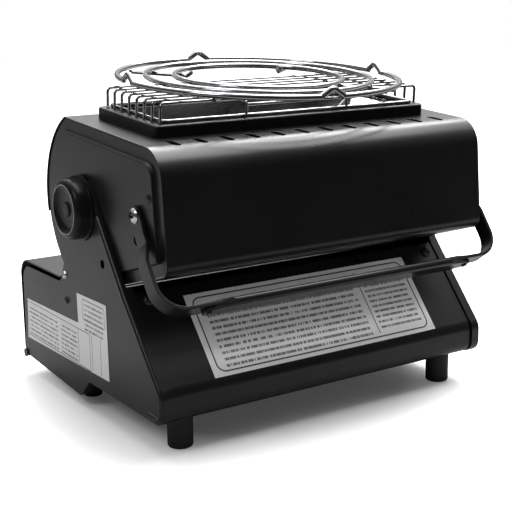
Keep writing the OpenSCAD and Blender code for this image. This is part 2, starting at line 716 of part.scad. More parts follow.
// A hopper cut from a long bar and a cross bar: l and w at its mouth, l2 and w2 at its floor
module hopper(l, w, l2, w2, depth) {
    intersection() {
        rotate([90, 0, 0]) linear_extrude(2 * w, center = true)
            polygon([[-l2 / 2, -depth], [l2 / 2, -depth], [l / 2, 0], [-l / 2, 0]]);
        along_x() linear_extrude(2 * l, center = true)
            polygon([[-w2 / 2, -depth], [w2 / 2, -depth], [w / 2, 0], [-w / 2, 0]]);
    }
}
module reflector() {
    l = bezel_l - 2 * bezel_lip + 6;
    w = bezel_w - 2 * bezel_lip + 6;
    t = 2 * reflector_t;
    color("#d5d7d9") on_head() translate([0, burner_y, bezel_top - sheet_t - 0.3]) difference() {
        union() {
            hopper(l - 6, w - 6, reflector_end_l, reflector_end_w, reflector_depth);
            translate([-l / 2, -w / 2, -reflector_t]) cube([l, w, reflector_t]);
        }
        translate([0, 0, 0.01]) hopper(l - 6 - t, w - 6 - t, reflector_end_l - t, reflector_end_w - t,
            reflector_depth + 0.02);
        for (x = [-91, -86]) translate([x, 0, -reflector_depth]) cylinder(h = reflector_depth + 1, r = 2.6);
    }
}
module burner_box() {
    l = plaque_l + 5;
    w = plaque_w + 2.8;
    top = bezel_top - sheet_t - 0.4 - reflector_depth;
    color("#9a9c9f") on_head() difference() {
        translate([-l / 2, burner_y - w / 2, box_floor_v]) cube([l, w, top - box_floor_v]);
        translate([-l / 2 + 1, burner_y - w / 2 + 1, box_floor_v + 1]) cube([l - 2, w - 2, 60]);
        rod_x(0, burner_y, venturi_v, venturi_r, l);
    }
}
module burner_plaques() {
    half = (plaque_l - 1) / 2;
    color("#e8e2d4") on_head() for (x = [-plaque_l / 2, 0.5])
        translate([x, burner_y - plaque_w / 2, plaque_top - plaque_t]) cube([half, plaque_w, plaque_t]);
}
module burner_mesh() {
    v = plaque_top + 3.2;
    color("#77797c") on_head() {
        for (i = [0:8]) translate([-72, burner_y - 26.5 + i * 6.5, v]) cube([144, 1, 0.8]);
        for (i = [0:20]) translate([-70.5 + i * 7, burner_y - 29, v + 0.4]) cube([1, 58, 0.8]);
    }
}
module venturi_tube() {
    start = (plaque_l + 5) / 2 - 4;
    mouth = swivel_x - 12;
    color("#9a9c9f") on_head() difference() {
        union() {
            rod_x(start, burner_y, venturi_v, venturi_r - 0.05, mouth - 6 - start);
            translate([mouth - 6, burner_y, venturi_v]) rotate([0, 90, 0])
                cylinder(h = 6, r1 = venturi_r - 0.05, r2 = venturi_r + 2);
        }
        rod_x(start - 1, burner_y, venturi_v, venturi_r - 1, mouth - start - 5);
        translate([mouth - 6, burner_y, venturi_v]) rotate([0, 90, 0])
            cylinder(h = 6.2, r1 = venturi_r - 1, r2 = venturi_r + 1.2);
    }
}
module injector() {
    color("#b9a264") on_head() {
        rod_x(swivel_x - 18, burner_y, venturi_v, 3, 12);
        rod_x(swivel_x - 6, burner_y, venturi_v, 5, 10);
        translate([swivel_x, 0, 0]) along_x() wire([
            [-11.1, 0], [-15, 0], [burner_y + 3, venturi_v - 4]], 2.4, 3);
    }
}
// The swivel lies on the pivot line: its two rings turn on the gas tube's cross pin
module swivel_fitting() {
    l = 2 * (swivel_half + swivel_t);
    color("#b9a264") on_head() translate([swivel_x - l / 2, 0, 0]) difference() {
        union() {
            for (x = [0, l - swivel_t]) rod_x(x, 0, 0, 6.5, swivel_t);
            for (x = [0, l - swivel_t]) translate([x, -9, -3]) cube([swivel_t, 6, 6]);
            translate([0, -11, -3]) cube([l, 4.4, 6]);
        }
        rod_x(-1, 0, 0, swivel_pin_r + run_gap, l + 2);
    }
}
module heat_shield() {
    color("#a9abad") on_head() folded(bent([
        [-94, 48, 0], [-99, -4, 10], [-62, -24, 8], [30, -24, 30], [56, 10, 10], [55, 26, 0]]), 0.8, 206);
}

module guard_frame() {
    v = bezel_top + guard_frame_r + 0.02;
    l = guard_half_l;
    w = guard_half_w;
    color("#dfe1e3") on_head() translate([0, burner_y, v]) {
        wire([[0, -w], [l, -w], [l, w], [0, w]], guard_frame_r, 4);
        mirror([1, 0, 0]) wire([[0, -w], [l, -w], [l, w], [0, w]], guard_frame_r, 4);
    }
}
module guard_long_wires() {
    leg_x = guard_half_l + guard_frame_r + guard_wire_r - 0.3;
    foot = bezel_top + 0.6;
    top = guard_top - guard_wire_r;
    pitch = 2 * guard_half_w / (guard_count - 1);
    color("#dfe1e3") on_head() for (i = [0:guard_count - 1])
        translate([0, burner_y - guard_half_w + i * pitch, 0]) rotate([90, 0, 0])
            wire([[-leg_x, foot], [-leg_x, top], [leg_x, top], [leg_x, foot]], guard_wire_r, 3);
}
module guard_cross_wires() {
    leg_y = guard_half_w + guard_frame_r + guard_wire_r - 0.3;
    foot = bezel_top + 0.6;
    top = guard_top - 3 * guard_wire_r + 0.3;
    color("#dfe1e3") on_head() translate([0, burner_y, 0]) {
        for (x = [-cross_x, cross_x]) translate([x, 0, 0]) along_x()
            wire([[-leg_y, foot], [-leg_y, top], [leg_y, top], [leg_y, foot]], guard_wire_r, 2.4);
        for (side = [-1, 1]) rod_x(-cross_x, side * (leg_y - 1.7), bezel_top + 8.6, guard_wire_r, 2 * cross_x);
    }
}
module thermocouple() {
    color("#c4c6c8") on_head() translate([-91, burner_y, plaque_top - 18]) cylinder(h = 32, r = 2);
}
module spark_electrode() {
    color("#f0eee8") on_head() translate([-86, burner_y, plaque_top - 18]) {
        cylinder(h = 26, r = 2);
        translate([0, 0, 26]) cylinder(h = 5, r = 0.8);
    }
}
module end_plate_rivets() {
    color("#2b2c2f") on_head() both_ends()
        translate([head_x, -94.5, 26.6]) rotate([0, 90, 0]) intersection() {
            cylinder(h = 1.4, r = 3.4);
            translate([0, 0, -3.6]) sphere(5);
        }
}
module pivot_bolts() {
    color("#b9bbbd") both_ends() {
        rod_x(rim_x - 6, 0, pivot_z, 8, 6 - sheet_t);
        rod_x(rim_x - 2, 0, pivot_z, bolt_r, plate_x + tilt_knob_d - 4.4 - rim_x + 2);
    }
}
module pivot_bushes() {
    color("#8d9093") both_ends() difference() {
        rod_x(head_x + 0.05, 0, pivot_z, 10, plate_in - part_gap - head_x - 0.05);
        rod_x(head_x - 1, 0, pivot_z, bolt_r + 0.02, 6);
    }
}
module handle_screws() {
    strap_out = handle_x_in + strap_t / 2;
    color("#d8dadc") on_head() both_ends() translate([0, -handle_back, handle_up]) {
        rod_x(rim_x - 4, 0, 0, screw_r, strap_out + part_gap - rim_x + 4.1);
        translate([strap_out + part_gap, 0, 0]) rotate([0, 90, 0]) screw_head(5.2, 2.6);
    }
}

// ---- Parts that move on the head ----

module tilt_knob() {
    r = tilt_knob_r;
    d = tilt_knob_d;
    profile = concat([[0, 0], [r + 1.4, 0], [r + 1.4, 1.4], [r, 2]],
        corner([r, 2], [r - 0.6, d], [0, d], 3.5),
        [[r - 5.6, d], [r - 6.6, d - 2.4], [7.4, d - 3.4], [7, d - 1.6], [0, d - 1.6]]);
    on_head() translate([plate_x + part_gap, 0, 0]) rotate([0, 90, 0]) difference() {
        rotate_extrude() polygon(profile);
        translate([0, 0, -1]) cylinder(h = d - 3.4, r = bolt_r + run_gap);
    }
}
module left_tilt_knob() { color("#1a1a1c") mirror([1, 0, 0]) tilt_knob(); }
module right_tilt_knob() { color("#1a1a1c") tilt_knob(); }

// The strap's middle line in its own plane: x across and y down the arms
function strap_path() = bent([
    [handle_x_in, 0, 0],
    [handle_x_in, -15, 5],
    [handle_x, -24, 6],
    [handle_x, -handle_l, 18],
    [0, -handle_l, 0]]);
module handle_strap() {
    half = concat(beside_open(strap_path(), strap_t / 2), reversed(beside_open(strap_path(), -strap_t / 2)));
    color("#26272a") on_handle() difference() {
        union() {
            both_ends() rotate([90, 0, 0]) linear_extrude(strap_w, center = true) polygon(half);
            both_ends() rod_x(handle_x_in - strap_t / 2, 0, 0, strap_w / 2, strap_t);
        }
        for (side = [-1, 1]) rod_x(side * handle_x_in - 5, 0, 0, screw_r + run_gap, 10);
        grip_rivet_holes();
    }
}
module handle_grip() {
    full = 88;
    tip = 112;
    sag = 2.6;
    r = (grip_w * grip_w / 4 + sag * sag) / (2 * sag);
    half = asin(grip_w / 2 / r);
    t = 1.2;
    // Its hollow side just clears the strap's two lower edges
    rise = -handle_l - strap_t / 2 - 0.05 + sqrt(pow(r - t, 2) - strap_w * strap_w / 4);
    color("#1e1f21") on_handle() difference() {
        intersection() {
            along_x() linear_extrude(2 * tip, center = true)
                polygon(concat(arc([0, rise], r, -90 - half, -90 + half, 14),
                    arc([0, rise], r - t, -90 + half, -90 - half, 14)));
            linear_extrude(400, center = true) polygon(rounded([
                [-tip, -3.5, 2], [-full, -grip_w / 2, 10], [full, -grip_w / 2, 10], [tip, -3.5, 2],
                [tip, 3.5, 2], [full, grip_w / 2, 10], [-full, grip_w / 2, 10], [-tip, 3.5, 2]]));
        }
        grip_rivet_holes();
    }
}
module grip_rivet_holes() {
    for (x = [-108, 108]) translate([x, 0, -handle_l - 10]) cylinder(h = 20, r = 2.02);
}
module grip_rivets() {
    color("#55575a") on_handle() for (x = [-108, 108])
        translate([x, 0, -handle_l - strap_t / 2 - 3.4]) cylinder(h = strap_t + 4.4, r = 2);
}

// One quarter of the outer ring, and the raised bump at its start
module ring_quarter() {
    half = asin(9 / ring_outer);
    foot = ring_outer * [cos(half), sin(half)];
    rotate([0, 0, half - 0.9]) rotate_extrude(angle = 91.8 - 2 * half, $fn = 96)
        translate([ring_outer, 0]) circle(ring_wire_r, $fn = 24);
    translate([foot[0], 0, 0]) along_x() wire([
        [-foot[1], 0], [0, bump_h + 1.2], [foot[1], 0]], ring_wire_r, 4);
}
module pan_outer_ring() {
    color("#e3e5e7") on_head() translate([0, ring_y, ring_v])
        for (i = [0:3]) rotate([0, 0, bump_turn + 90 * i]) ring_quarter();
}
module pan_inner_rings() {
    color("#e3e5e7") on_head() translate([0, ring_y, ring_v]) for (r = [ring_middle, ring_inner])
        rotate_extrude($fn = 96) translate([r, 0]) circle(ring_wire_r, $fn = 24);
}
module pan_spokes() {
    z = ring_v - ring_wire_r - spoke_r + 0.2;
    color("#e3e5e7") on_head() translate([0, ring_y, z])
        for (i = [0:3]) rotate([0, 0, bump_turn + 45 + 90 * i]) rotate([90, 0, 0])
            wire([[ring_outer - 1, 0], [ring_inner - 6, 0], [ring_inner - 10, 3]], spoke_r, 3);
}

left_side_plate();
right_side_plate();
back_panel();
base_pan();
deck();
bay_wall();
bay_end_wall();
control_panel();
cartridge_cradle();
back_feet();
front_feet();
foot_screws();
bright_side_screws();
dark_side_screws();
panel_screws();
panel_label();
side_label();
lid_hinge_pins();
regulator();
gas_valve();
piezo_igniter();
gas_tube();
tube_grommet();
control_dial();
cartridge_lid();
lid_tab();
cartridge_lever();
lever_pin();
cartridge_fork();
control_knob();
valve_stem();
head_shell();
left_end_plate();
right_end_plate();
bezel();
reflector();
burner_box();
burner_plaques();
burner_mesh();
venturi_tube();
injector();
swivel_fitting();
heat_shield();
guard_frame();
guard_long_wires();
guard_cross_wires();
thermocouple();
spark_electrode();
end_plate_rivets();
pivot_bolts();
pivot_bushes();
handle_screws();
left_tilt_knob();
right_tilt_knob();
handle_strap();
handle_grip();
grip_rivets();
pan_outer_ring();
pan_inner_rings();
pan_spokes();
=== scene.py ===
# Gas cartridge heater and cooker: a black tilting burner head on a folded steel base.
# Sizes are in millimetres times mm. The floor is z = 0 and the head turns about y = 0, z = 149.
import math

import bmesh
import bpy
from mathutils import Matrix, Vector


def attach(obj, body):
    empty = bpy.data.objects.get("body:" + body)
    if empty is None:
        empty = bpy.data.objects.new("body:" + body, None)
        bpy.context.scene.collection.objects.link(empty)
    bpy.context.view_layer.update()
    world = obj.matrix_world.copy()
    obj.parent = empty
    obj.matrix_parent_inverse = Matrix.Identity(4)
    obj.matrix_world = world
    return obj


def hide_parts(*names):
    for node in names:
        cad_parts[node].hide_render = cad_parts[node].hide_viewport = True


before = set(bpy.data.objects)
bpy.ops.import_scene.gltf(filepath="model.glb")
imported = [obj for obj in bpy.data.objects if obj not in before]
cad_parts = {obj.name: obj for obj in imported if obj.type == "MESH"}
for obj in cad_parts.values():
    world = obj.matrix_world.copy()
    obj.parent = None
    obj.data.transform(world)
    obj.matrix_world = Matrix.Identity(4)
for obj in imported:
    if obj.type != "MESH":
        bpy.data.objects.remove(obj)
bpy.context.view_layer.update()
mm = 0.001

# ---- Camera ----
# A long lens a little above the pan rings, looking across the label side from the left.
eye = bpy.data.cameras.new("camera")
camera = bpy.data.objects.new("camera", eye)
bpy.context.scene.collection.objects.link(camera)
eye.lens = 79.76
eye.sensor_width = 36
eye.shift_y = -0.01074
eye.clip_start = 0.05
eye.clip_end = 30
camera.matrix_world = (
    Matrix.Translation((-458.07 * mm, -708.85 * mm, 292.51 * mm))
    @ Matrix.Rotation(math.radians(-33.36), 4, "Z")
    @ Matrix.Rotation(math.radians(90 - 12.84), 4, "X")
    @ Matrix.Rotation(math.radians(-0.72), 4, "Z")
)
bpy.context.scene.camera = camera

# ---- Studio ----
# A pale plain floor, three soft lights and a room that is bright overhead and behind the heater. Away from
# the heater the floor glows a little, for the camera only: a painted light that fades to a painted shadow
# under the heater. In reflections the floor is painted a darker grey, a painted dimming of its reflection.


def settle():
    # Writes the active piece's place, turn and size into its mesh
    bpy.ops.object.transform_apply(location=True, rotation=True, scale=True)


def blend(nodes, links, a, b, share):
    # Mixes two tones, each a colour or a socket, by the share that a socket gives
    mix = nodes.new("ShaderNodeMix")
    mix.data_type = "RGBA"
    for label, tone in (("A", a), ("B", b)):
        if isinstance(tone, tuple):
            mix.inputs[label].default_value = (*tone, 1)
        else:
            links.new(tone, mix.inputs[label])
    links.new(share, mix.inputs["Factor"])
    return mix.outputs["Result"]


def ranged(nodes, links, value, low, high, to_low=0.0, to_high=1.0):
    # Maps a socket's value from one range to another
    step = nodes.new("ShaderNodeMapRange")
    for label, end in (("From Min", low), ("From Max", high), ("To Min", to_low), ("To Max", to_high)):
        step.inputs[label].default_value = end
    links.new(value, step.inputs["Value"])
    return step.outputs["Result"]


def maths(nodes, links, operation, *inputs, vector=False):
    # One maths node fed by sockets or numbers
    node = nodes.new("ShaderNodeVectorMath" if vector else "ShaderNodeMath")
    node.operation = operation
    for socket, value in zip(node.inputs, inputs):
        if isinstance(value, (int, float, tuple)):
            socket.default_value = value
        else:
            links.new(value, socket)
    gives_number = operation in ("LENGTH", "DOT_PRODUCT") or not vector
    return node.outputs["Value" if gives_number else "Vector"]


bpy.ops.mesh.primitive_plane_add(size=1, location=(0, 1.85, 0))
floor = bpy.context.object
floor.name = "studio_floor"
floor.scale = (8, 4.4, 1)
settle()
paper = bpy.data.materials.new("studio_paper")
paper.use_nodes = True
nodes, links = paper.node_tree.nodes, paper.node_tree.links
paper_skin = nodes["Principled BSDF"]
paper_skin.inputs["Roughness"].default_value = 0.75
paper_skin.inputs["Specular IOR Level"].default_value = 0.2
paper_skin.inputs["Emission Color"].default_value = (1, 1, 1, 1)
grain = nodes.new("ShaderNodeTexNoise")
grain.inputs["Scale"].default_value = 3
ray = nodes.new("ShaderNodeLightPath")
paper_tone = blend(nodes, links, (0.93, 0.93, 0.935), (0.96, 0.96, 0.96), grain.outputs["Fac"])
# Painted reflection: glossy rays see the floor as a darker grey, which dims its reflection on the heater
painted_dim_reflection_tone = (0.33, 0.33, 0.33)
paper_tone = blend(nodes, links, paper_tone, painted_dim_reflection_tone, ray.outputs["Is Glossy Ray"])
links.new(paper_tone, paper_skin.inputs["Base Color"])
reach = maths(nodes, links, "LENGTH", nodes.new("ShaderNodeTexCoord").outputs["Object"], vector=True)
# Painted light: the camera sees the floor glow, weakly under the heater as a painted shadow and fully clear
# of it
under_heater, clear_of_it = 0.12, 0.31
painted_floor_glow = ranged(nodes, links, reach, under_heater, clear_of_it, 0.05, 0.72)
links.new(maths(nodes, links, "MULTIPLY", painted_floor_glow, ray.outputs["Is Camera Ray"]),
          paper_skin.inputs["Emission Strength"])
floor.data.materials.append(paper)

room = bpy.data.worlds.new("studio_room")
bpy.context.scene.world = room
room.use_nodes = True
nodes, links = room.node_tree.nodes, room.node_tree.links
brightest_way = (0.30, 0.37, 0.88)
toward = maths(nodes, links, "DOT_PRODUCT", nodes.new("ShaderNodeTexCoord").outputs["Generated"],
               brightest_way, vector=True)
glow = nodes.new("ShaderNodeValToRGB")
stops = glow.color_ramp.elements
stops[0].position, stops[0].color = 0.42, (0.04, 0.04, 0.04, 1)
stops[1].position, stops[1].color = 0.94, (2.3, 2.3, 2.3, 1)
for place, tone in ((0.62, 0.08), (0.78, 0.36), (0.86, 0.95)):
    stop = stops.new(place)
    stop.color = (tone, tone, tone, 1)
links.new(maths(nodes, links, "MULTIPLY_ADD", toward, 0.5, 0.5), glow.inputs["Fac"])
seen = nodes.new("ShaderNodeLightPath").outputs["Is Camera Ray"]
room_tone = blend(nodes, links, glow.outputs["Color"], (1.0, 1.0, 1.0), seen)
links.new(room_tone, nodes["Background"].inputs["Color"])

aim = Vector((0, 0, 0.2))
for name, across, tall, power, stand in (("overhead_softbox", 1.1, 0.9, 20, (0.42, 0.05, 1.25)),
                                         ("back_card", 1.2, 0.4, 16, (0.62, 0.75, 1.1)),
                                         ("left_card", 0.45, 0.45, 4, (-1.0, -0.28, 1.05))):
    lamp = bpy.data.lights.new(name, "AREA")
    lamp.shape = "RECTANGLE"
    lamp.size, lamp.size_y, lamp.energy = across, tall, power
    lamp_stand = bpy.data.objects.new(name, lamp)
    bpy.context.scene.collection.objects.link(lamp_stand)
    lamp_stand.location = stand
    lamp_stand.rotation_euler = (aim - lamp_stand.location).to_track_quat("-Z", "Y").to_euler()
    lamp_stand.visible_camera = False
bpy.context.scene.view_settings.view_transform = "Standard"

# ---- Side plates ----
# Two plates of folded steel carry the head on their rounded arms. Each is blanked in one outline and its
# back edge is rolled inward, narrow beside the head and wide below it. Satin black powder coat.
sheet_t = 1.2
plate_x = 136.5
pivot_z = 149


def clear_choice():
    if bpy.context.object and bpy.context.object.mode != "OBJECT":
        bpy.ops.object.mode_set(mode="OBJECT")
    bpy.ops.object.select_all(action="DESELECT")


def take(piece):
    clear_choice()
    piece.select_set(True)
    bpy.context.view_layer.objects.active = piece


def bench(piece):
    take(piece)
    bpy.ops.object.mode_set(mode="EDIT")
    bpy.ops.mesh.select_all(action="DESELECT")


def choose(piece, kind, wanted):
    # Selects the points, edges or faces whose middle is wanted, and nothing else
    bpy.ops.mesh.select_mode(type=kind)
    bpy.ops.mesh.select_all(action="DESELECT")
    mesh = bmesh.from_edit_mesh(piece.data)
    for item in {"VERT": mesh.verts, "EDGE": mesh.edges, "FACE": mesh.faces}[kind]:
        if kind == "VERT":
            middle = item.co
        elif kind == "EDGE":
            middle = (item.verts[0].co + item.verts[1].co) / 2
        else:
            middle = item.calc_center_median()
        if wanted(middle, item):
            item.select_set(True)
    mesh.select_flush_mode()
    bmesh.update_edit_mesh(piece.data)


def modify(piece, kind, **settings):
    take(piece)
    step = piece.modifiers.new(kind.lower(), kind)
    for name, value in settings.items():
        setattr(step, name, value)
    bpy.ops.object.modifier_apply(modifier=step.name)


def face_out(piece):
    bench(piece)
    bpy.ops.mesh.select_all(action="SELECT")
    bpy.ops.mesh.remove_doubles(threshold=0.01 * mm)
    bpy.ops.mesh.normals_make_consistent(inside=False)
    bpy.ops.object.mode_set(mode="OBJECT")


def thicken(piece, thickness, side):
    modify(piece, "SOLIDIFY", thickness=thickness * mm, offset=side, use_even_offset=True)
    face_out(piece)


def soften(piece, width, segments=2, angle=40):
    # Rounds the edges that are sharper than the angle
    modify(piece, "BEVEL", width=width * mm, segments=segments, limit_method="ANGLE",
           angle_limit=math.radians(angle), use_clamp_overlap=False)


def combine(piece, tool, operation):
    modify(piece, "BOOLEAN", operation=operation, object=tool, solver="EXACT")
    bpy.data.objects.remove(tool)


def cut_away(piece, *cutters):
    for cutter in cutters:
        combine(piece, cutter, "DIFFERENCE")


def drill(axis, centre, radius, depth, segments=32):
    # A round cutter along X, Y or Z
    clear_choice()
    turn = {"X": (0, math.pi / 2, 0), "Y": (math.pi / 2, 0, 0), "Z": (0, 0, 0)}[axis]
    bpy.ops.mesh.primitive_cylinder_add(vertices=segments, radius=radius * mm, depth=depth * mm,
                                        location=[c * mm for c in centre], rotation=turn)
    settle()
    return bpy.context.object


def trace(name, points):
    # One edge after another through the points, starting from one corner of a small plane
    clear_choice()
    bpy.ops.mesh.primitive_plane_add(size=2 * mm, location=(0, 0, 0))
    piece = bpy.context.object
    piece.name = name
    bench(piece)
    choose(piece, "VERT", lambda middle, item: not (middle.x > 0 and middle.y > 0))
    bpy.ops.mesh.delete(type="VERT")
    bpy.ops.mesh.select_all(action="SELECT")
    here = Vector((1, 1, 0))
    first = Vector(points[0])
    bpy.ops.transform.translate(value=(first - here) * mm)
    for before, after in zip(points, points[1:]):
        bpy.ops.mesh.extrude_vertices_move(
            TRANSFORM_OT_translate={"value": (Vector(after) - Vector(before)) * mm})
    return piece


def rounded(points, bend_steps=8):
    # Turns corners (a, b, radius) of a path into points, its two ends kept as they are
    out = [points[0][:2]]
    for before, corner, after in zip(points, points[1:], points[2:]):
        here = Vector(corner[:2])
        u = (Vector(before[:2]) - here).normalized()
        v = (Vector(after[:2]) - here).normalized()
        if corner[2] == 0 or abs(u.dot(v)) > 0.9999:
            out.append(tuple(here))
            continue
        half_turn = u.angle(v) / 2
        centre = here + (u + v).normalized() * corner[2] / math.sin(half_turn)
        start = here + u * corner[2] / math.tan(half_turn) - centre
        sweep = (math.pi - 2 * half_turn) * (-1 if u.x * v.y - u.y * v.x > 0 else 1)
        for i in range(bend_steps + 1):
            turn = Matrix.Rotation(sweep * i / bend_steps, 2)
            out.append(tuple(centre + turn @ start))
    out.append(points[-1][:2])
    return out


def arc(centre, radius, start, end, steps):
    return [(centre[0] + radius * math.cos(math.radians(start + (end - start) * i / steps)),
             centre[1] + radius * math.sin(math.radians(start + (end - start) * i / steps)))
            for i in range(steps + 1)]


def blank(name, x, outline):
    # A flat plate in the YZ plane at x, filled from its outline
    piece = trace(name, [(x, y, z) for y, z in outline])
    bpy.ops.mesh.select_all(action="SELECT")
    bpy.ops.mesh.edge_face_add()
    bpy.ops.object.mode_set(mode="OBJECT")
    return piece


def mirrored(piece, name):
    take(piece)
    bpy.ops.object.duplicate()
    twin = bpy.context.object
    twin.name = name
    twin.scale.x = -1
    settle()
    face_out(twin)
    return twin


def fit(piece, body, slot, finish, *stands_for, smooth=35):
    # Finishes a piece and hands it over to its body, in place of the pieces it stands for
    take(piece)
    settle()
    bpy.ops.object.shade_smooth_by_angle(angle=math.radians(smooth))
    modify(piece, "WEIGHTED_NORMAL", keep_sharp=True, weight=80)
    piece.data.materials.clear()
    piece.data.materials.append(finish)
    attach(piece, body)
    if stands_for:
        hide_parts(*stands_for)


def new_finish(name, roughness=0.5, metallic=0.0):
    finish = bpy.data.materials.new(name)
    finish.use_nodes = True
    skin = finish.node_tree.nodes["Principled BSDF"]
    skin.inputs["Roughness"].default_value = roughness
    skin.inputs["Metallic"].default_value = metallic
    return finish, finish.node_tree.nodes, finish.node_tree.links, skin


# Two sizes of grain and a few specks on the piece's own coordinates: the fine grain is a height, the broad
# one a mask
surface_grain = bpy.data.node_groups.new("surface_grain", "ShaderNodeTree")
for label, way in (("Fine Scale", "INPUT"), ("Broad Scale", "INPUT"), ("Height", "OUTPUT"),
                   ("Broad", "OUTPUT"), ("Specks", "OUTPUT")):
    surface_grain.interface.new_socket(label, in_out=way, socket_type="NodeSocketFloat")
nodes, links = surface_grain.nodes, surface_grain.links
group_in = nodes.new("NodeGroupInput")
group_out = nodes.new("NodeGroupOutput")
spot = nodes.new("ShaderNodeTexCoord")
fine = nodes.new("ShaderNodeTexNoise")
fine.inputs["Detail"].default_value = 3
broad = nodes.new("ShaderNodeTexNoise")
broad.inputs["Detail"].default_value = 5
broad.inputs["Roughness"].default_value = 0.6
dust = nodes.new("ShaderNodeTexVoronoi")
dust.inputs["Scale"].default_value = 170
speck_size = 0.045
for texture in (fine, broad, dust):
    links.new(spot.outputs["Object"], texture.inputs["Vector"])
links.new(group_in.outputs["Fine Scale"], fine.inputs["Scale"])
links.new(group_in.outputs["Broad Scale"], broad.inputs["Scale"])
links.new(fine.outputs["Fac"], group_out.inputs["Height"])
links.new(broad.outputs["Fac"], group_out.inputs["Broad"])
links.new(maths(nodes, links, "LESS_THAN", dust.outputs["Distance"], speck_size), group_out.inputs["Specks"])


def grained(nodes, links, skin, fine_scale, broad_scale, smoothest=None, dullest=None):
    # The grain on one finish, and its gloss uneven between two roughnesses where they are given
    texture = nodes.new("ShaderNodeGroup")
    texture.node_tree = surface_grain
    texture.inputs["Fine Scale"].default_value = fine_scale
    texture.inputs["Broad Scale"].default_value = broad_scale
    if dullest is not None:
        gloss = ranged(nodes, links, texture.outputs["Broad"], 0.3, 0.7, smoothest, dullest)
        links.new(gloss, skin.inputs["Roughness"])
    return texture.outputs


def embossed(nodes, links, skin, height, strength, distance):
    relief = nodes.new("ShaderNodeBump")
    relief.inputs["Strength"].default_value = strength
    relief.inputs["Distance"].default_value = distance * mm
    links.new(height, relief.inputs["Height"])
    links.new(relief.outputs["Normal"], skin.inputs["Normal"])
    return relief


def coated(name, tone, roughness, peel_scale=900, peel=0.25, spread=0.10, specks=0.02, shine=0.32):
    # A coat of one tone: fine relief, uneven gloss, and a few dust specks in the lacquer
    finish, nodes, links, skin = new_finish(name, roughness)
    skin.inputs["Specular IOR Level"].default_value = shine
    texture = grained(nodes, links, skin, peel_scale, 14, roughness - spread / 2, roughness + spread / 2)
    shade = blend(nodes, links, tuple(c * 0.85 for c in tone), tuple(c * 1.15 for c in tone),
                  texture["Broad"])
    dusty = blend(nodes, links, shade, tuple(c + specks for c in tone), texture["Specks"])
    links.new(dusty, skin.inputs["Base Color"])
    embossed(nodes, links, skin, texture["Height"], peel, 0.1)
    return finish


black_coat = coated("black_powder_coat", (0.006, 0.006, 0.0065), 0.30)

arm_radius = 23
roll_narrow, roll_more, roll_bend = 2.7, 4.3, 2.5
arm_top = arc((0, pivot_z), arm_radius, 0, 143.4, 30)
foot_run = rounded([(-61.17, 105.03), (-64.3, 100.8, 0), (-112, 45, 12), (-112, 23, 10), (-79.5, 23)])
under_run = rounded([(-79.5, 23), (-2, 23, 3), (12, 8.5, 6), (114.2, 14.5, 9), (114.2, 30, 0),
                     (112.2, 34, 0), (111.4, 87.9, 13), (42, 88.6, 0), (38, 90.7, 4), (31.3, 104.6, 20),
                     (25.5, 121.8)])
right_plate = blank("right_side_sheet", plate_x, arm_top + foot_run + under_run[1:])
bench(right_plate)
beside_head = 6
rolled = arm_top[31 - beside_head:] + foot_run
rolled_middles = [((a[0] + b[0]) / 2, (a[1] + b[1]) / 2) for a, b in zip(rolled, rolled[1:])]


def along_roll(x, middles):
    return lambda middle, item: abs(middle.x - x * mm) < 0.01 * mm and any(
        abs(middle.y - y * mm) < 0.02 * mm and abs(middle.z - z * mm) < 0.02 * mm for y, z in middles)


choose(right_plate, "EDGE", along_roll(plate_x, rolled_middles))
bpy.ops.mesh.extrude_region_move(TRANSFORM_OT_translate={"value": (-roll_narrow * mm, 0, 0)})
choose(right_plate, "EDGE", along_roll(plate_x - roll_narrow, rolled_middles[beside_head:]))
bpy.ops.mesh.extrude_region_move(TRANSFORM_OT_translate={"value": (-roll_more * mm, 0, 0)})
choose(right_plate, "EDGE", along_roll(plate_x, rolled_middles))
bpy.ops.mesh.bevel(offset=roll_bend * mm, segments=6, affect="EDGES", profile=0.5, clamp_overlap=True)
bpy.ops.object.mode_set(mode="OBJECT")
face_out(right_plate)
thicken(right_plate, sheet_t, -1)
for (y, z), radius in (((-32.2, 115.2), 3), ((0, pivot_z), 4.05), ((113, 15.2), 2.02)):
    cut_away(right_plate, drill("X", (136, y, z), radius, 8))
left_plate = mirrored(right_plate, "left_side_sheet")
soften(right_plate, 0.25, 2, 50)
soften(left_plate, 0.25, 2, 50)
for plate, stands_for in ((right_plate, "right_side_plate"), (left_plate, "left_side_plate")):
    fit(plate, "base", "base_steel", black_coat, stands_for)

# ---- Curled edges ----
# The back edge of each side plate is curled over before it is rolled in, so a round bead stands proud of
# the outer face from below the knob, down the slope and round the bottom corner. Same coat.
curl_x, curl_radius, trim_x = 135.6, 2.7, 135.4
curl_line = rounded([(-26.6, 146.3), (-61.8, 98.8, 0), (-108.8, 43.85, 8.8), (-108.8, 26.2, 6.8),
                     (-92, 26.2)], 10)
trace("right_edge_curl", [(curl_x, y, z) for y, z in curl_line])
bpy.ops.object.mode_set(mode="OBJECT")
bpy.ops.object.convert(target="CURVE")
curl_path = bpy.context.object.data
curl_path.bevel_depth = curl_radius * mm
curl_path.bevel_resolution = 4
curl_path.use_fill_caps = True
bpy.ops.object.convert(target="MESH")
right_curl = bpy.context.object
# The half that would stand inside the plate is cut off
bench(right_curl)
bpy.ops.mesh.select_all(action="SELECT")
bpy.ops.mesh.bisect(plane_co=(trim_x * mm, 0, 0), plane_no=(1, 0, 0), clear_inner=True, use_fill=True)
bpy.ops.object.mode_set(mode="OBJECT")
face_out(right_curl)
left_curl = mirrored(right_curl, "left_edge_curl")
for curl in (right_curl, left_curl):
    fit(curl, "base", "base_steel", black_coat)

# ---- Back panel, base pan and deck ----
# Folded sheets between the side plates: the sloped label panel with its rounded foot, the vented pan
# underneath and the round trough under the head.


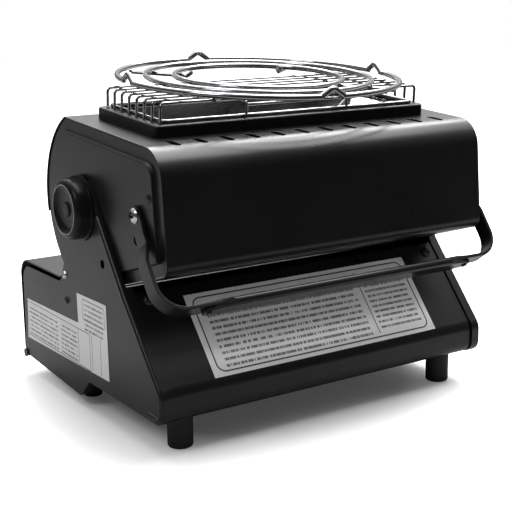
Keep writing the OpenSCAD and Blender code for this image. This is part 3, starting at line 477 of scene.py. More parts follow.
def strip(name, x0, x1, start, end):
    # The first flat of a folded sheet, from start to end in the YZ plane
    clear_choice()
    run = Vector((0, end[0] - start[0], end[1] - start[1]))
    bpy.ops.mesh.primitive_plane_add(size=1, location=(0, 0, 0))
    piece = bpy.context.object
    piece.name = name
    piece.scale = ((x1 - x0) * mm, run.length * mm, 1)
    piece.rotation_euler = (math.atan2(run.z, run.y), 0, 0)
    piece.location = ((x0 + x1) / 2 * mm, (start[0] + end[0]) / 2 * mm, (start[1] + end[1]) / 2 * mm)
    settle()
    return piece


def near(y, z):
    reach = 0.3 * mm
    return lambda middle, item: abs(middle.y - y * mm) < reach and abs(middle.z - z * mm) < reach


def folded_sheet(name, x0, x1, path, radii=(), steps=10, thickness=sheet_t, side=-1):
    # Extrudes the first flat's far edge along the path, rounds each fold, then thickens the sheet
    piece = strip(name, x0, x1, path[0], path[1])
    bench(piece)
    for before, after in zip(path[1:], path[2:]):
        choose(piece, "EDGE", near(*before))
        bpy.ops.mesh.extrude_region_move(
            TRANSFORM_OT_translate={"value": (0, (after[0] - before[0]) * mm, (after[1] - before[1]) * mm)})
    for before, corner, after, radius in zip(path, path[1:], path[2:], radii):
        if radius:
            a = Vector((before[0] - corner[0], before[1] - corner[1]))
            b = Vector((after[0] - corner[0], after[1] - corner[1]))
            choose(piece, "EDGE", near(*corner))
            bpy.ops.mesh.bevel(offset=radius / math.tan(a.angle(b) / 2) * mm, segments=steps, affect="EDGES",
                               profile=0.5, clamp_overlap=False)
    bpy.ops.object.mode_set(mode="OBJECT")
    face_out(piece)
    thicken(piece, thickness, side)
    return piece


panel = folded_sheet("label_panel_sheet", -129.1, 129.1,
                     [(-80.4, 23.2), (-110.4, 23.2), (-110.4, 45), (-62.7, 100.8), (-55.2, 102.7)],
                     [9, 12, 3], 12)
soften(panel, 0.15)
fit(panel, "base", "panel_steel", black_coat, "back_panel")

pan = folded_sheet("base_pan_sheet", -135.1, 135.1,
                   [(-79, 23.2), (-2, 23.2), (12, 8.7), (105, 14.3), (105, 23.5)], [3, 6, 2], 6)
for vent_x in range(-60, 61, 30):
    cut_away(pan, drill("Z", (vent_x, -40, 23), 3, 10))
fit(pan, "base", "panel_steel", black_coat, "base_pan")

trough = folded_sheet("head_trough_sheet", -135.1, 135.1, arc((0, pivot_z), 71.5, -138.5, -57, 40),
                      side=1)
cut_away(trough, drill("Z", (112, -35.7, 88), 7, 30))
fit(trough, "base", "panel_steel", black_coat, "deck", smooth=60)

# ---- Cartridge box ----
# The box on the control side: a fixed control panel at the right and a hinged lid over the cartridge.
# Each is one sheet folded over the box's rounded upper corner. The lid has two hinge ears inside.


def block(centre, size, turn=0):
    # A square-edged bar or cutter, turned about Z
    clear_choice()
    bpy.ops.mesh.primitive_cube_add(size=1, location=[c * mm for c in centre])
    piece = bpy.context.object
    piece.scale = [s * mm for s in size]
    piece.rotation_euler = (0, 0, math.radians(turn))
    settle()
    return piece


box_front, box_top, box_bend = 116, 92.5, 14
control_sheet = folded_sheet("control_panel_sheet", 62.4, plate_x,
                             [(box_front, 20.5), (box_front, box_top), (39.44, box_top)], [box_bend], 12)
cut_away(control_sheet, drill("Y", (100, box_front, 42), 8, 8))
cut_away(control_sheet, block((76.8, box_front, 65), (10.4, 8, 22)))
soften(control_sheet, 0.15)
fit(control_sheet, "base", "base_steel", black_coat, "control_panel")

lid = folded_sheet("cartridge_lid_sheet", -plate_x, 61.9,
                   [(box_front, 18.6), (box_front, box_top), (39.44, box_top)], [box_bend], 12)
soften(lid, 0.15)
ears = []
for x in (-135, 60.7):
    ear = blank("lid_ear", x, [(115, 14.2), (115, 30), (113.4, 30), (110, 17.2), (110, 12.8), (114, 12.2)])
    face_out(ear)
    thicken(ear, sheet_t, 1 if x < 0 else -1)
    cut_away(ear, drill("X", (x, 113, 15.2), 2.05, 8))
    ears.append(ear)
take(lid)
for ear in ears:
    ear.select_set(True)
bpy.ops.object.join()
fit(lid, "lid", "base_steel", black_coat, "cartridge_lid")

# The lid's finger tab: a narrow folded lip spot-welded to its front.
tab = folded_sheet("lid_finger_lip", -38, 6, [(116.1, 62.6), (116.1, 70.9), (120.9, 70.9), (120.9, 62.6)],
                   [1.2, 1.2], 4, 0.6)
soften(tab, 0.1)
fit(tab, "lid", "base_steel", black_coat, "lid_tab")

# ---- Feet ----
# Four round moulded rubber feet, tall at the back and low at the front, each with a chamfered sole and a
# sunk screw hole underneath.


def turned(name, points, steps=64):
    # A chain of (along, radius) points spun once round the Z axis
    piece = trace(name, [(radius, 0, along) for along, radius in points])
    bpy.ops.mesh.select_all(action="SELECT")
    bpy.ops.mesh.spin(steps=steps, angle=2 * math.pi, center=(0, 0, 0), axis=(0, 0, 1))
    bpy.ops.object.mode_set(mode="OBJECT")
    face_out(piece)
    return piece


def placed(piece, name, spot, turn=(0, 0, 0)):
    # A copy with its own mesh, turned and moved to its place
    take(piece)
    bpy.ops.object.duplicate()
    copy = bpy.context.object
    copy.name = name
    copy.location = [s * mm for s in spot]
    copy.rotation_euler = [math.radians(t) for t in turn]
    settle()
    return copy


rubber = coated("black_rubber", (0.013, 0.013, 0.013), 0.62, 1400, 0.4, 0.16, 0.03)
tall_foot = turned("tall_foot", [(3.5, 0), (3.5, 3.4), (0.1, 3.6), (0, 4.0), (0, 7.2), (0.5, 8.1), (1.5, 8.6),
                                 (21.8, 8.7), (22.7, 8.5), (23, 8.0), (23, 0)])
low_foot = turned("low_foot", [(3, 0), (3, 3.2), (0.1, 3.4), (0, 3.8), (0, 5.9), (0.4, 6.6), (1.2, 7.0),
                               (8.2, 7.0), (8.9, 6.7), (9, 6.2), (9, 0)])
for side, label in ((-1, "left"), (1, "right")):
    for pattern, row, x, y in ((tall_foot, "back", 113.4, -91.4), (low_foot, "front", 118, 32)):
        foot = placed(pattern, f"{label}_{row}_foot", (side * x, y, 0))
        fit(foot, "base", "black_rubber", rubber, f"{row}_feet")
for pattern in (tall_foot, low_foot):
    bpy.data.objects.remove(pattern)

# ---- Screws ----
# Domed steel screws with a cross recess: bright zinc on the arms, black on the lower plates and the
# label panel. One of each size is turned and recessed, then copied to its places.


def cross_screw(name, radius, height):
    rings = 6
    dome = [(height * (1 - (i / rings) ** 2) ** 0.5, radius * i / rings) for i in range(rings)]
    shank = [(-2, 0), (-2, radius * 0.5), (0, radius * 0.5), (0, radius * 0.99)]
    screw = turned(name, shank + dome[::-1], 40)
    for turn in (20, 110):
        cut_away(screw, block((0, 0, height * 1.05), (radius * 1.15, radius * 0.17, height * 0.9), turn))
    return screw


def plated(name, tone, roughness, streak=(30, 700, 700), depth=0.2, spread=0.12):
    # Bare or plated metal: fine drawn streaks and an uneven polish
    finish, nodes, links, skin = new_finish(name, roughness, 1.0)
    stretch = nodes.new("ShaderNodeMapping")
    stretch.inputs["Scale"].default_value = streak
    scratch = nodes.new("ShaderNodeTexNoise")
    scratch.inputs["Scale"].default_value = 1
    scratch.inputs["Detail"].default_value = 4
    links.new(nodes.new("ShaderNodeTexCoord").outputs["Object"], stretch.inputs["Vector"])
    links.new(stretch.outputs["Vector"], scratch.inputs["Vector"])
    texture = grained(nodes, links, skin, 600, 30, max(0.03, roughness - spread / 2), roughness + spread / 2)
    shade = blend(nodes, links, tuple(c * 0.86 for c in tone), tuple(min(1, c * 1.08) for c in tone),
                  texture["Broad"])
    links.new(shade, skin.inputs["Base Color"])
    embossed(nodes, links, skin, scratch.outputs["Fac"], depth, 0.05)
    return finish


bright_zinc = plated("bright_zinc", (0.58, 0.58, 0.59), 0.26)
black_screw = coated("black_oxide_screw", (0.014, 0.014, 0.015), 0.35, 500, 0.2)
arm_screw = cross_screw("arm_screw", 3.1, 1.9)
small_screw = cross_screw("small_screw", 3.0, 1.6)
slope_screw = cross_screw("slope_screw", 4.0, 2.2)
slope = 49.71
slope_foot = Vector((0, -110.4, 45))
up_slope = Vector((0, math.cos(math.radians(slope)), math.sin(math.radians(slope))))
off_slope = Vector((0, -math.sin(math.radians(slope)), math.cos(math.radians(slope))))
panel_screw_up, head_gap = 66, 0.4
seat = slope_foot + panel_screw_up * up_slope + head_gap * off_slope
for side, label in ((-1, "left"), (1, "right")):
    screw = placed(arm_screw, f"{label}_arm_screw", (side * plate_x, 30.7, 95.1), (0, side * 90, 0))
    fit(screw, "base", "bright_screw", bright_zinc, "bright_side_screws")
    screw = placed(small_screw, f"{label}_small_screw", (side * plate_x, 29.4, 76.7), (0, side * 90, 0))
    fit(screw, "base", "dark_screw", black_screw, "dark_side_screws")
    screw = placed(slope_screw, f"{label}_panel_screw", (side * 121, seat.y, seat.z), (slope, 0, 0))
    fit(screw, "base", "dark_screw", black_screw, "panel_screws")
for pattern in (arm_screw, small_screw, slope_screw):
    bpy.data.objects.remove(pattern)

# ---- Labels ----
# Matt silver foil with thin dark frames, dividers and rows of plain dashes, glued on the sloped panel and
# on the left plate. They carry no words. The panel's foil is painted far lighter than the side's, as painted
# light from the front.
box_line = bpy.data.node_groups.new("box_line", "ShaderNodeTree")
for label, way, kind in (("Place", "INPUT", "Vector"), ("Middle", "INPUT", "Vector"),
                         ("Half Size", "INPUT", "Vector"), ("Corner", "INPUT", "Float"),
                         ("Line", "INPUT", "Float"), ("Ink", "OUTPUT", "Float"),
                         ("Inside", "OUTPUT", "Float")):
    box_line.interface.new_socket(label, in_out=way, socket_type=f"NodeSocket{kind}")
nodes, links = box_line.nodes, box_line.links
group_in = nodes.new("NodeGroupInput")
group_out = nodes.new("NodeGroupOutput")
away = maths(nodes, links, "SUBTRACT", group_in.outputs["Place"], group_in.outputs["Middle"], vector=True)
away = maths(nodes, links, "ABSOLUTE", away, vector=True)
away = maths(nodes, links, "SUBTRACT", away, group_in.outputs["Half Size"], vector=True)
pull = nodes.new("ShaderNodeCombineXYZ")
links.new(group_in.outputs["Corner"], pull.inputs["X"])
links.new(group_in.outputs["Corner"], pull.inputs["Y"])
away = maths(nodes, links, "ADD", away, pull.outputs["Vector"], vector=True)
outside = maths(nodes, links, "MAXIMUM", away, (0, 0, 0), vector=True)
outside = maths(nodes, links, "LENGTH", outside, vector=True)
parts = nodes.new("ShaderNodeSeparateXYZ")
links.new(away, parts.inputs[0])
inside = maths(nodes, links, "MAXIMUM", parts.outputs["X"], parts.outputs["Y"])
inside = maths(nodes, links, "MINIMUM", inside, 0.0)
edge = maths(nodes, links, "ADD", outside, inside)
edge = maths(nodes, links, "SUBTRACT", edge, group_in.outputs["Corner"])
on_line = maths(nodes, links, "LESS_THAN", maths(nodes, links, "ABSOLUTE", edge), group_in.outputs["Line"])
links.new(on_line, group_out.inputs["Ink"])
links.new(maths(nodes, links, "LESS_THAN", edge, 0.0), group_out.inputs["Inside"])


def foil(name, tone, u_way, v_way, start, frames, rows):
    # Printed foil, with its marks in millimetres from the start along the two ways.
    # frames: (middle, half size, corner, line); rows: (middle, half size, pitch, word length)
    finish, nodes, links, skin = new_finish(name, 0.42)
    spot = nodes.new("ShaderNodeTexCoord").outputs["Object"]
    from_start = maths(nodes, links, "SUBTRACT", spot, start, vector=True)
    place = nodes.new("ShaderNodeCombineXYZ")
    links.new(maths(nodes, links, "DOT_PRODUCT", from_start, u_way, vector=True), place.inputs["X"])
    links.new(maths(nodes, links, "DOT_PRODUCT", from_start, v_way, vector=True), place.inputs["Y"])
    here = place.outputs["Vector"]
    row_weight, row_shift, gap_share, row_ink = 0.42, 7.3, 0.43, 0.8

    def box(middle, size, corner, line):
        ruled = nodes.new("ShaderNodeGroup")
        ruled.node_tree = box_line
        links.new(here, ruled.inputs["Place"])
        ruled.inputs["Middle"].default_value = (*middle, 0)
        ruled.inputs["Half Size"].default_value = (*size, 0)
        ruled.inputs["Corner"].default_value = corner
        ruled.inputs["Line"].default_value = line
        return ruled.outputs

    marks = [box(*ruled_frame)["Ink"] for ruled_frame in frames]
    axes = nodes.new("ShaderNodeSeparateXYZ")
    links.new(here, axes.inputs[0])
    for middle, size, pitch, dash in rows:
        within = box(middle, size, 0.0, 0.0)["Inside"]
        height = maths(nodes, links, "DIVIDE", axes.outputs["Y"], pitch)
        row = maths(nodes, links, "LESS_THAN", maths(nodes, links, "FRACT", height), row_weight)
        number = maths(nodes, links, "FLOOR", height)
        run = nodes.new("ShaderNodeCombineXYZ")
        links.new(maths(nodes, links, "DIVIDE", axes.outputs["X"], dash), run.inputs["X"])
        links.new(maths(nodes, links, "MULTIPLY", number, row_shift), run.inputs["Y"])
        gaps = nodes.new("ShaderNodeTexNoise")
        gaps.inputs["Scale"].default_value = 1
        gaps.inputs["Detail"].default_value = 1
        links.new(run.outputs["Vector"], gaps.inputs["Vector"])
        dashes = maths(nodes, links, "GREATER_THAN", gaps.outputs["Fac"], gap_share)
        mark = maths(nodes, links, "MULTIPLY", maths(nodes, links, "MULTIPLY", row, dashes), within)
        marks.append(maths(nodes, links, "MULTIPLY", mark, row_ink))
    ink = marks[0]
    for mark in marks[1:]:
        ink = maths(nodes, links, "MAXIMUM", ink, mark)
    texture = grained(nodes, links, skin, 1800, 25)
    silver = blend(nodes, links, (tone * 0.93, tone * 0.93, tone * 0.94), (tone, tone, tone * 1.01),
                   texture["Broad"])
    links.new(blend(nodes, links, silver, (0.02, 0.02, 0.022), ink), skin.inputs["Base Color"])
    embossed(nodes, links, skin, texture["Height"], 0.15, 0.05)
    return finish


def dress(name, finish):
    # A construction piece that keeps its shape and takes a finish
    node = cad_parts[name]
    node.data.materials.clear()
    node.data.materials.append(finish)
    return node


slope_way = tuple(1000 * up_slope)
# Painted light: this foil's tone is raised well above the side label's to stand for light from the front
panel_foil_painted_light = foil("panel_label_foil_painted_light", 0.90, (1000, 0, 0), slope_way, (0, -0.1104, 0.045),
                  [((0, 34.2), (91, 27.5), 6, 0.5), ((46, 34.2), (0.0, 24.5), 0, 0.35)],
                  [((-22, 31), (62, 22), 4.6, 1.15), ((68, 33), (19, 22), 4.2, 1.0)])
side_foil = foil("side_label_foil", 0.50, (0, -1000, 0), (0, 0, 1000), (0, 0, 0),
                 [((-49, 46.2), (56, 13.5), 0, 0.3), ((14.5, 76.2), (17.5, 7.4), 2, 0.3)]
                 + [((x, 47), (0.0, 13), 0, 0.3) for x in (10.5, -12.0, 24.2)],
                 [((-75, 46), (27, 12), 3.4, 1.4), ((-28, 46), (14, 12), 3.4, 1.2),
                  ((14.5, 72), (15, 11), 3.6, 1.1)])
dress("panel_label", panel_foil_painted_light)
dress("side_label", side_foil)

# ---- Head shell ----
# One thin sheet rolled round the front, over the top and folded under the back. Twelve vent slots run
# along its top, one small slot is underneath, and the burner's opening is cut out of the flat.
lean = math.radians(4.2)
pivot = Vector((0, 0, pivot_z * mm))
shell_x, shell_t = 131.8, 0.8
roll_radius = 66.8
opening_y = -23.45
slot_pitch, slots = 20, 12


def lean_back(piece):
    # From the head's own frame, whose origin is the pivot line, to its place at rest
    take(piece)
    piece.location = pivot
    piece.rotation_euler = (lean, 0, 0)
    settle()


def slot_cutter(centre, long_way, length, width, depth):
    # A round cutter pulled apart along X or Y into a slot with round ends
    cutter = drill("Z", centre, width / 2, depth, 24)
    step = (length - width) / 2 * mm
    axis = "XY".index(long_way)
    bench(cutter)
    for side in (1, -1):
        choose(cutter, "VERT", lambda middle, item: side * (middle[axis] - centre[axis] * mm) > 0.01 * mm)
        bpy.ops.transform.translate(value=[side * step if i == axis else 0 for i in range(3)])
    bpy.ops.object.mode_set(mode="OBJECT")
    return cutter


roll = arc((0, 0), roll_radius, -15, 59.91, 30)
shell_line = roll + [(-104.4, 57.8), (-116.2, -18.5), (-49.98, -44.32)]
shell = folded_sheet("head_shell_sheet", -shell_x, shell_x, shell_line, [0] * 30 + [20, 9], 14, shell_t)
cut_away(shell, block((0, opening_y, 58), (219, 78.5, 20)), slot_cutter((104, -88, -28), "X", 14, 3.4, 30),
         *[slot_cutter((-110 + slot_pitch * i, -82.6, 57), "Y", 15, 5.6, 8) for i in range(slots)])
soften(shell, 0.2, 2, 50)
lean_back(shell)
fit(shell, "head", "head_steel", black_coat, "head_shell")

# ---- Head end plates ----
# Pressed ends of the head: a flat rim with the middle raised in one step, held by domed rivets. A small
# plate behind each one closes its lower hole.


def head_outline(inset):
    # The head's end outline, moved inward by inset
    share = (inset - 1.4) / 7.6
    front = arc((0, 0), roll_radius - inset, -138.73 - 1.79 * share, 59.59 - 1.99 * share, 60)
    back = rounded([front[-1], (-103.2 + 6.52 * share, 56.4 - 7.6 * share, 20 - inset),
                    (-114.64 + 8.44 * share, -17.6 + 4.86 * share, max(9 - inset, 1.2)), front[0]])
    return front + back[1:-1]


def close_run(piece, first, last):
    # The edge that closes a traced run of points
    choose(piece, "VERT", lambda middle, item: min(
        (middle - Vector(p) * mm).length for p in (first, last)) < 1e-6)
    bpy.ops.mesh.edge_face_add()


end_plate = None
for inset, x in ((1.4, 130.9), (8.6, 130.9), (9.1, 131.15), (9.6, 132.2), (10.1, 133.25), (10.6, 133.5)):
    loop = trace("end_plate_loop", [(x, y, z) for y, z in head_outline(inset)])
    close_run(loop, (x, *head_outline(inset)[0]), (x, *head_outline(inset)[-1]))
    bpy.ops.object.mode_set(mode="OBJECT")
    if end_plate is None:
        end_plate = loop
        end_plate.name = "right_end_pressing"
        continue
    take(end_plate)
    loop.select_set(True)
    bpy.ops.object.join()
    bench(end_plate)
    newest = len(head_outline(inset)) * 2
    mesh = bmesh.from_edit_mesh(end_plate.data)
    mesh.edges.ensure_lookup_table()
    open_edges = [edge for edge in mesh.edges if len(edge.link_faces) < 2]
    bpy.ops.mesh.select_mode(type="EDGE")
    for edge in open_edges[-newest:]:
        edge.select_set(True)
    bmesh.update_edit_mesh(end_plate.data)
    bpy.ops.mesh.bridge_edge_loops()
    bpy.ops.object.mode_set(mode="OBJECT")
bench(end_plate)
choose(end_plate, "EDGE", lambda middle, item: middle.x > 133.49 * mm)
bpy.ops.mesh.edge_face_add()
bpy.ops.object.mode_set(mode="OBJECT")
face_out(end_plate)
thicken(end_plate, sheet_t, -1)
for (y, z), radius in (((0, 0), 4.25), ((-80.3, 12.9), 2.62), ((-77.3, -4.6), 3)):
    cut_away(end_plate, drill("X", (132, y, z), radius, 12))
lean_back(end_plate)
twin = mirrored(end_plate, "left_end_pressing")
fit(end_plate, "head", "end_steel", black_coat, "right_end_plate")
fit(twin, "head", "end_steel", black_coat, "left_end_plate")
cover = block((129.8, -77.3, -6), (0.8, 16, 18))
soften(cover, 0.2)
cover.name = "right_hole_cover"
lean_back(cover)
twin = mirrored(cover, "left_hole_cover")
for piece in (cover, twin):
    fit(piece, "head", "end_steel", black_coat)

# ---- Burner bezel ----
# A raised frame pressed from sheet: four short walls and a flat lip, with a rounded outer edge.


def stepped_ring(name, half_x, half_y, corner, z, steps):
    # A rounded rectangle round the burner, carried from one size and height to the next
    half = [(half_x, 0), (half_x, half_y, corner), (-half_x, half_y, corner), (-half_x, -half_y, corner),
            (half_x, -half_y, corner), (half_x, 0)]
    loop = [(x, y + opening_y, z) for x, y in rounded(half)][:-1]
    piece = trace(name, loop)
    close_run(piece, loop[0], loop[-1])
    bpy.ops.mesh.select_mode(type="EDGE")
    bpy.ops.mesh.select_all(action="SELECT")
    for next_x, next_y, next_z in steps:
        bpy.ops.mesh.extrude_region_move(TRANSFORM_OT_translate={"value": (0, 0, (next_z - z) * mm)})
        bpy.ops.transform.resize(value=(next_x / half_x, next_y / half_y, 1),
                                 center_override=(0, opening_y * mm, next_z * mm))
        half_x, half_y, z = next_x, next_y, next_z
    bpy.ops.object.mode_set(mode="OBJECT")
    face_out(piece)
    return piece


bezel = stepped_ring("bezel_frame", 113.5, 43.25, 5, 57.84, [
    (113.5, 43.25, 64.4), (113.38, 43.13, 65.0), (113.03, 42.78, 65.53), (112.5, 42.25, 65.88),
    (111.9, 41.65, 66.0), (106.5, 36.25, 66.0)])
thicken(bezel, sheet_t, -1)
lean_back(bezel)
fit(bezel, "head", "head_steel", black_coat, "bezel", smooth=50)

# ---- Reflector ----
# The polished hopper round the burner: four sloping walls with a narrow flange under the bezel's lip. Its
# colour is darkened to a dull grey everywhere except towards its right end.
polished = plated("polished_steel", (0.50, 0.50, 0.51), 0.20, (20, 500, 500), 0.12, 0.10)
reflector = stepped_ring("reflector_hopper", 109.4, 39.1, 2, 64.5, [
    (106.5, 36.2, 64.5), (105.9, 35.6, 64.1), (75.9, 31.9, 41.8), (75.0, 31.0, 41.2)])
nodes, links = polished.node_tree.nodes, polished.node_tree.links
axes = nodes.new("ShaderNodeSeparateXYZ")
links.new(nodes.new("ShaderNodeTexCoord").outputs["Object"], axes.inputs[0])
# Dark grey over the left and middle of the hopper, bare polish towards its right end
lighter_right_end = ranged(nodes, links, axes.outputs["X"], 55 * mm, 95 * mm)
colour = nodes["Principled BSDF"].inputs["Base Color"]
links.new(blend(nodes, links, (0.10, 0.10, 0.10), colour.links[0].from_socket, lighter_right_end), colour)
thicken(reflector, 0.8, -1)
lean_back(reflector)
fit(reflector, "head", "polished_steel", polished, "reflector", smooth=30)

# ---- Tilt knobs ----
# Two large moulded knobs on the pivot bolts: a thin skirt, a smooth body with a rounded front edge, and a
# dished face with a fine raised bead round it and a low boss in the middle. A thin lighter ring painted on
# the bead is a painted highlight.


def painted_over(finish, tone, share):
    # Lays a second tone over a finish where the share is one
    nodes, links = finish.node_tree.nodes, finish.node_tree.links
    colour = nodes["Principled BSDF"].inputs["Base Color"]
    links.new(blend(nodes, links, colour.links[0].from_socket, (tone, tone, tone), share), colour)


knob_plastic = coated("black_moulded_plastic", (0.007, 0.007, 0.007), 0.24, 2200, 0.12, 0.08, 0.02, 0.2)
bead_highlight_plastic = coated("black_plastic_painted_bead_highlight", (0.007, 0.007, 0.007), 0.22, 2200, 0.12, 0.08, 0.02, 0.12)
nodes, links = bead_highlight_plastic.node_tree.nodes, bead_highlight_plastic.node_tree.links
bead_radius, bead_width = 17.05, 0.7
from_axis = maths(nodes, links, "SUBTRACT", nodes.new("ShaderNodeTexCoord").outputs["Object"],
                  (0, 0, pivot_z * mm), vector=True)
from_axis = maths(nodes, links, "MULTIPLY", from_axis, (0, 1, 1), vector=True)
from_axis = maths(nodes, links, "LENGTH", from_axis, vector=True)
off_bead = maths(nodes, links, "ABSOLUTE", maths(nodes, links, "SUBTRACT", from_axis, bead_radius * mm))
# Painted highlight: a thin ring of lighter grey on the bead round the knob's face
painted_over(bead_highlight_plastic, 0.16, maths(nodes, links, "LESS_THAN", off_bead, bead_width / 2 * mm))
knob = turned("tilt_knob", [
    (7.8, 0), (7.8, 4.05), (0, 4.05), (0, 22.6), (0.3, 22.9), (0.9, 22.9), (1.2, 22.6), (1.4, 21.6),
    (7.6, 21.3), (9.6, 20.7), (11.0, 19.6), (11.7, 18.2), (11.75, 17.5), (12.0, 17.3), (12.0, 16.8),
    (11.7, 16.5), (10.6, 15.6), (9.7, 13.6), (9.2, 10.4), (9.1, 5.4), (9.8, 5.1), (10.1, 4.6),
    (10.2, 4.0), (10.2, 0)], 96)
for side, label in ((-1, "left"), (1, "right")):
    piece = placed(knob, f"{label}_tilt_knob_body", (side * 136.8, 0, pivot_z), (0, side * 90, 0))
    fit(piece, f"{label}_knob", "knob_plastic", bead_highlight_plastic, f"{label}_tilt_knob", smooth=30)
bpy.data.objects.remove(knob)

# ---- Carrying handle ----
# A flat steel strap folded into a long U, with a rounded grip bar riveted over its middle. Each leg steps
# out below its eye to clear the side plate. It swings on two shouldered screws in the head's ends.
swing = math.radians(-35.8)
handle_pivot = Vector((0, -81.029 * mm, 155.984 * mm))


def hang(piece):
    take(piece)
    piece.location = handle_pivot
    piece.rotation_euler = (swing, 0, 0)
    settle()


gloss_coat = coated("gloss_black_enamel", (0.006, 0.006, 0.0065), 0.24, 1500, 0.10, 0.06, 0.02, 0.3)
strap_w, strap_t = 12.5, 2.5
eye_x, foot_z = 135.25, -68.4
leg = [(eye_x, strap_w / 2), (eye_x, -6.5, 4), (136.4, -14.5, 4), (136.4, -21, 5), (140.8, -33, 6),
       (140.8, foot_z, 18), (0, foot_z)]
half_run = rounded(leg, 10)
run = half_run[:-1] + [(-x, z) for x, z in reversed(half_run[:-1])]
strap = trace("handle_strap_band", [(x, -strap_w / 2, z) for x, z in run])
bpy.ops.mesh.select_all(action="SELECT")
bpy.ops.mesh.extrude_region_move(TRANSFORM_OT_translate={"value": (0, strap_w * mm, 0)})
bpy.ops.object.mode_set(mode="OBJECT")
face_out(strap)
thicken(strap, strap_t, 0)
for side in (-1, 1):
    cut_away(strap, drill("X", (side * eye_x, 0, 0), 2.55, 8))
    bench(strap)
    choose(strap, "EDGE", lambda middle, item: abs(abs(middle.y) - strap_w / 2 * mm) < 0.05 * mm
           and abs(middle.z - strap_w / 2 * mm) < 0.05 * mm and side * middle.x > 0)
    bpy.ops.mesh.bevel(offset=6.0 * mm, segments=8, affect="EDGES", profile=0.5, clamp_overlap=False)
    bpy.ops.object.mode_set(mode="OBJECT")
soften(strap, 0.35, 2, 50)
hang(strap)
fit(strap, "handle", "strap_steel", gloss_coat, "handle_strap")

grip_line = rounded([(112, 0), (112, 3.5, 2), (88, 8.5, 10), (-88, 8.5, 10), (-112, 3.5, 2), (-112, 0)], 6)
grip_outline = grip_line[:-1] + [(x, -y) for x, y in grip_line[::-1]][:-1]
blank_top, blank_depth = -52, 30
grip = trace("handle_grip_plate", [(x, y, blank_top) for x, y in grip_outline])
bpy.ops.mesh.select_all(action="SELECT")
bpy.ops.mesh.edge_face_add()
bpy.ops.mesh.extrude_region_move(TRANSFORM_OT_translate={"value": (0, 0, -blank_depth * mm)})
bpy.ops.object.mode_set(mode="OBJECT")
face_out(grip)
bar_z, bar_l, bar_w, bar_t = -69.2, 226, 10.4, 6
bar = block((0, 0, bar_z), (bar_l, bar_w, bar_t))
for side in (-1, 1):
    combine(bar, drill("X", (0, side * bar_w / 2, bar_z), bar_t / 2, bar_l, 48), "UNION")
combine(grip, bar, "INTERSECT")
soften(grip, 0.5, 3, 50)
hang(grip)
fit(grip, "handle", "grip_steel", gloss_coat, "handle_grip")

# ---- Control knob and dial ----
# The gas control: a round moulded knob with a bar grip, over a silver disc with plain marks.
control = turned("control_knob_body", [
    (7, 3), (0, 3), (0, 17.6), (0.3, 18), (2.6, 18), (3.0, 17.6), (3.0, 16.6), (3.3, 16.4), (8.6, 15.6),
    (9.0, 15.2), (9.2, 14.6), (9.2, 8), (9.2, 0)], 72)
bar = block((0, 0, 7.3), (7, 30, 6.6))
soften(bar, 0.9, 3, 40)
combine(control, bar, "UNION")
face_out(control)
piece = placed(control, "gas_control_knob", (100, 117, 42), (-90, 0, 0))
bpy.data.objects.remove(control)
fit(piece, "control", "knob_plastic", knob_plastic, "control_knob", smooth=30)

# ---- Plain pieces ----
# The pieces below keep their construction and take a finish each: drawn wire, plated and cast metal,
# brass, rubber, ceramic and moulded plastic.
bright_wire = plated("bright_nickel_wire", (0.36, 0.36, 0.37), 0.14, (500, 500, 500), 0.08, 0.06)
zinc_plate = plated("zinc_plated_steel", (0.62, 0.63, 0.65), 0.36, (60, 60, 60), 0.2, 0.16)
brass = plated("machined_brass", (0.72, 0.53, 0.24), 0.24, (30, 600, 600), 0.25, 0.10)
cast_metal = plated("cast_alloy", (0.58, 0.58, 0.59), 0.44, (900, 900, 900), 0.5, 0.12)
heat_steel = plated("heat_stained_steel", (0.46, 0.43, 0.40), 0.34, (40, 400, 400), 0.25, 0.14)

ceramic, nodes, links, skin = new_finish("pierced_ceramic", 0.85)
spot = nodes.new("ShaderNodeTexCoord").outputs["Object"]
pits = nodes.new("ShaderNodeTexVoronoi")
pits.inputs["Scale"].default_value = 480
pits.inputs["Randomness"].default_value = 0.08
links.new(spot, pits.inputs["Vector"])
# Painted shade: the pores are painted dark brown for the shade inside them, and a bump sinks them
hole = maths(nodes, links, "LESS_THAN", pits.outputs["Distance"], 0.30)
links.new(blend(nodes, links, (0.72, 0.66, 0.56), (0.10, 0.08, 0.06), hole), skin.inputs["Base Color"])
embossed(nodes, links, skin, hole, 1.0, 0.4).invert = True

dial_face, nodes, links, skin = new_finish("marked_dial", 0.40, 0.4)
spot = nodes.new("ShaderNodeTexCoord").outputs["Object"]
from_middle = maths(nodes, links, "SUBTRACT", spot, (0.1, 0.116, 0.042), vector=True)
axes = nodes.new("ShaderNodeSeparateXYZ")
links.new(from_middle, axes.inputs[0])
around = maths(nodes, links, "ARCTAN2", axes.outputs["Z"], axes.outputs["X"])
across, up = (maths(nodes, links, "MULTIPLY", axes.outputs[a], axes.outputs[a]) for a in "XZ")
reach = maths(nodes, links, "SQRT", maths(nodes, links, "ADD", across, up))
ticks, tick_width, knob_reach = 24, 0.16, 18.7
tick = maths(nodes, links, "FRACT", maths(nodes, links, "MULTIPLY", around, ticks / (2 * math.pi)))
tick = maths(nodes, links, "LESS_THAN", tick, tick_width)
outer = maths(nodes, links, "GREATER_THAN", reach, knob_reach * mm)
mark = maths(nodes, links, "MULTIPLY", tick, outer)
links.new(blend(nodes, links, (0.60, 0.60, 0.61), (0.02, 0.02, 0.02), mark), skin.inputs["Base Color"])
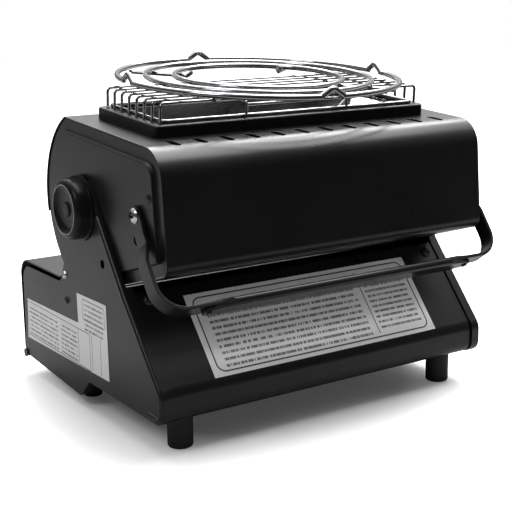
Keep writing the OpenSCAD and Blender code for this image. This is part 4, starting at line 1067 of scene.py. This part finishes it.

# Painted shade: the cross recess in each handle screw's head is painted near black
recess_shaded_zinc = plated("handle_screw_zinc_painted_recess_shade", (0.66, 0.66, 0.67), 0.24)
nodes, links = recess_shaded_zinc.node_tree.nodes, recess_shaded_zinc.node_tree.links
from_screw = maths(nodes, links, "SUBTRACT", nodes.new("ShaderNodeTexCoord").outputs["Object"],
                   tuple(handle_pivot), vector=True)
axes = nodes.new("ShaderNodeSeparateXYZ")
links.new(maths(nodes, links, "ABSOLUTE", from_screw, vector=True), axes.inputs[0])
across, up = axes.outputs["Y"], axes.outputs["Z"]
cross_half_width, cross_half_length = 0.8, 3.2
narrow = maths(nodes, links, "MINIMUM", across, up)
narrow = maths(nodes, links, "LESS_THAN", narrow, cross_half_width * mm)
short = maths(nodes, links, "MAXIMUM", across, up)
short = maths(nodes, links, "LESS_THAN", short, cross_half_length * mm)
painted_over(recess_shaded_zinc, 0.01, maths(nodes, links, "MULTIPLY", narrow, short))
for finish, names in (
    (bright_wire, ("guard_frame", "guard_long_wires", "guard_cross_wires", "pan_outer_ring",
                   "pan_inner_rings", "pan_spokes")),
    (recess_shaded_zinc, ("handle_screws",)),
    (bright_zinc, ("pivot_bolts",)),
    (zinc_plate, ("cartridge_cradle", "cartridge_fork", "cartridge_lever", "lever_pin",
                  "venturi_tube", "pivot_bushes", "foot_screws")),
    (brass, ("gas_valve", "gas_tube", "injector", "swivel_fitting", "valve_stem")),
    (cast_metal, ("regulator",)),
    (heat_steel, ("burner_mesh", "thermocouple", "heat_shield", "burner_box")),
    (black_screw, ("lid_hinge_pins",)),
    (ceramic, ("burner_plaques",)),
    (rubber, ("tube_grommet",)),
    (knob_plastic, ("piezo_igniter",)),
    (black_coat, ("bay_wall", "bay_end_wall", "end_plate_rivets", "grip_rivets")),
    (dial_face, ("control_dial",)),
):
    for name in names:
        take(dress(name, finish))
        bpy.ops.object.shade_smooth_by_angle(angle=math.radians(35))

glaze, nodes, links, skin = new_finish("glazed_ceramic", 0.18)
mottle = nodes.new("ShaderNodeTexNoise")
mottle.inputs["Scale"].default_value = 900
links.new(nodes.new("ShaderNodeTexCoord").outputs["Object"], mottle.inputs["Vector"])
links.new(blend(nodes, links, (0.84, 0.83, 0.80), (0.92, 0.91, 0.89), mottle.outputs["Fac"]),
          skin.inputs["Base Color"])
dress("spark_electrode", glaze)
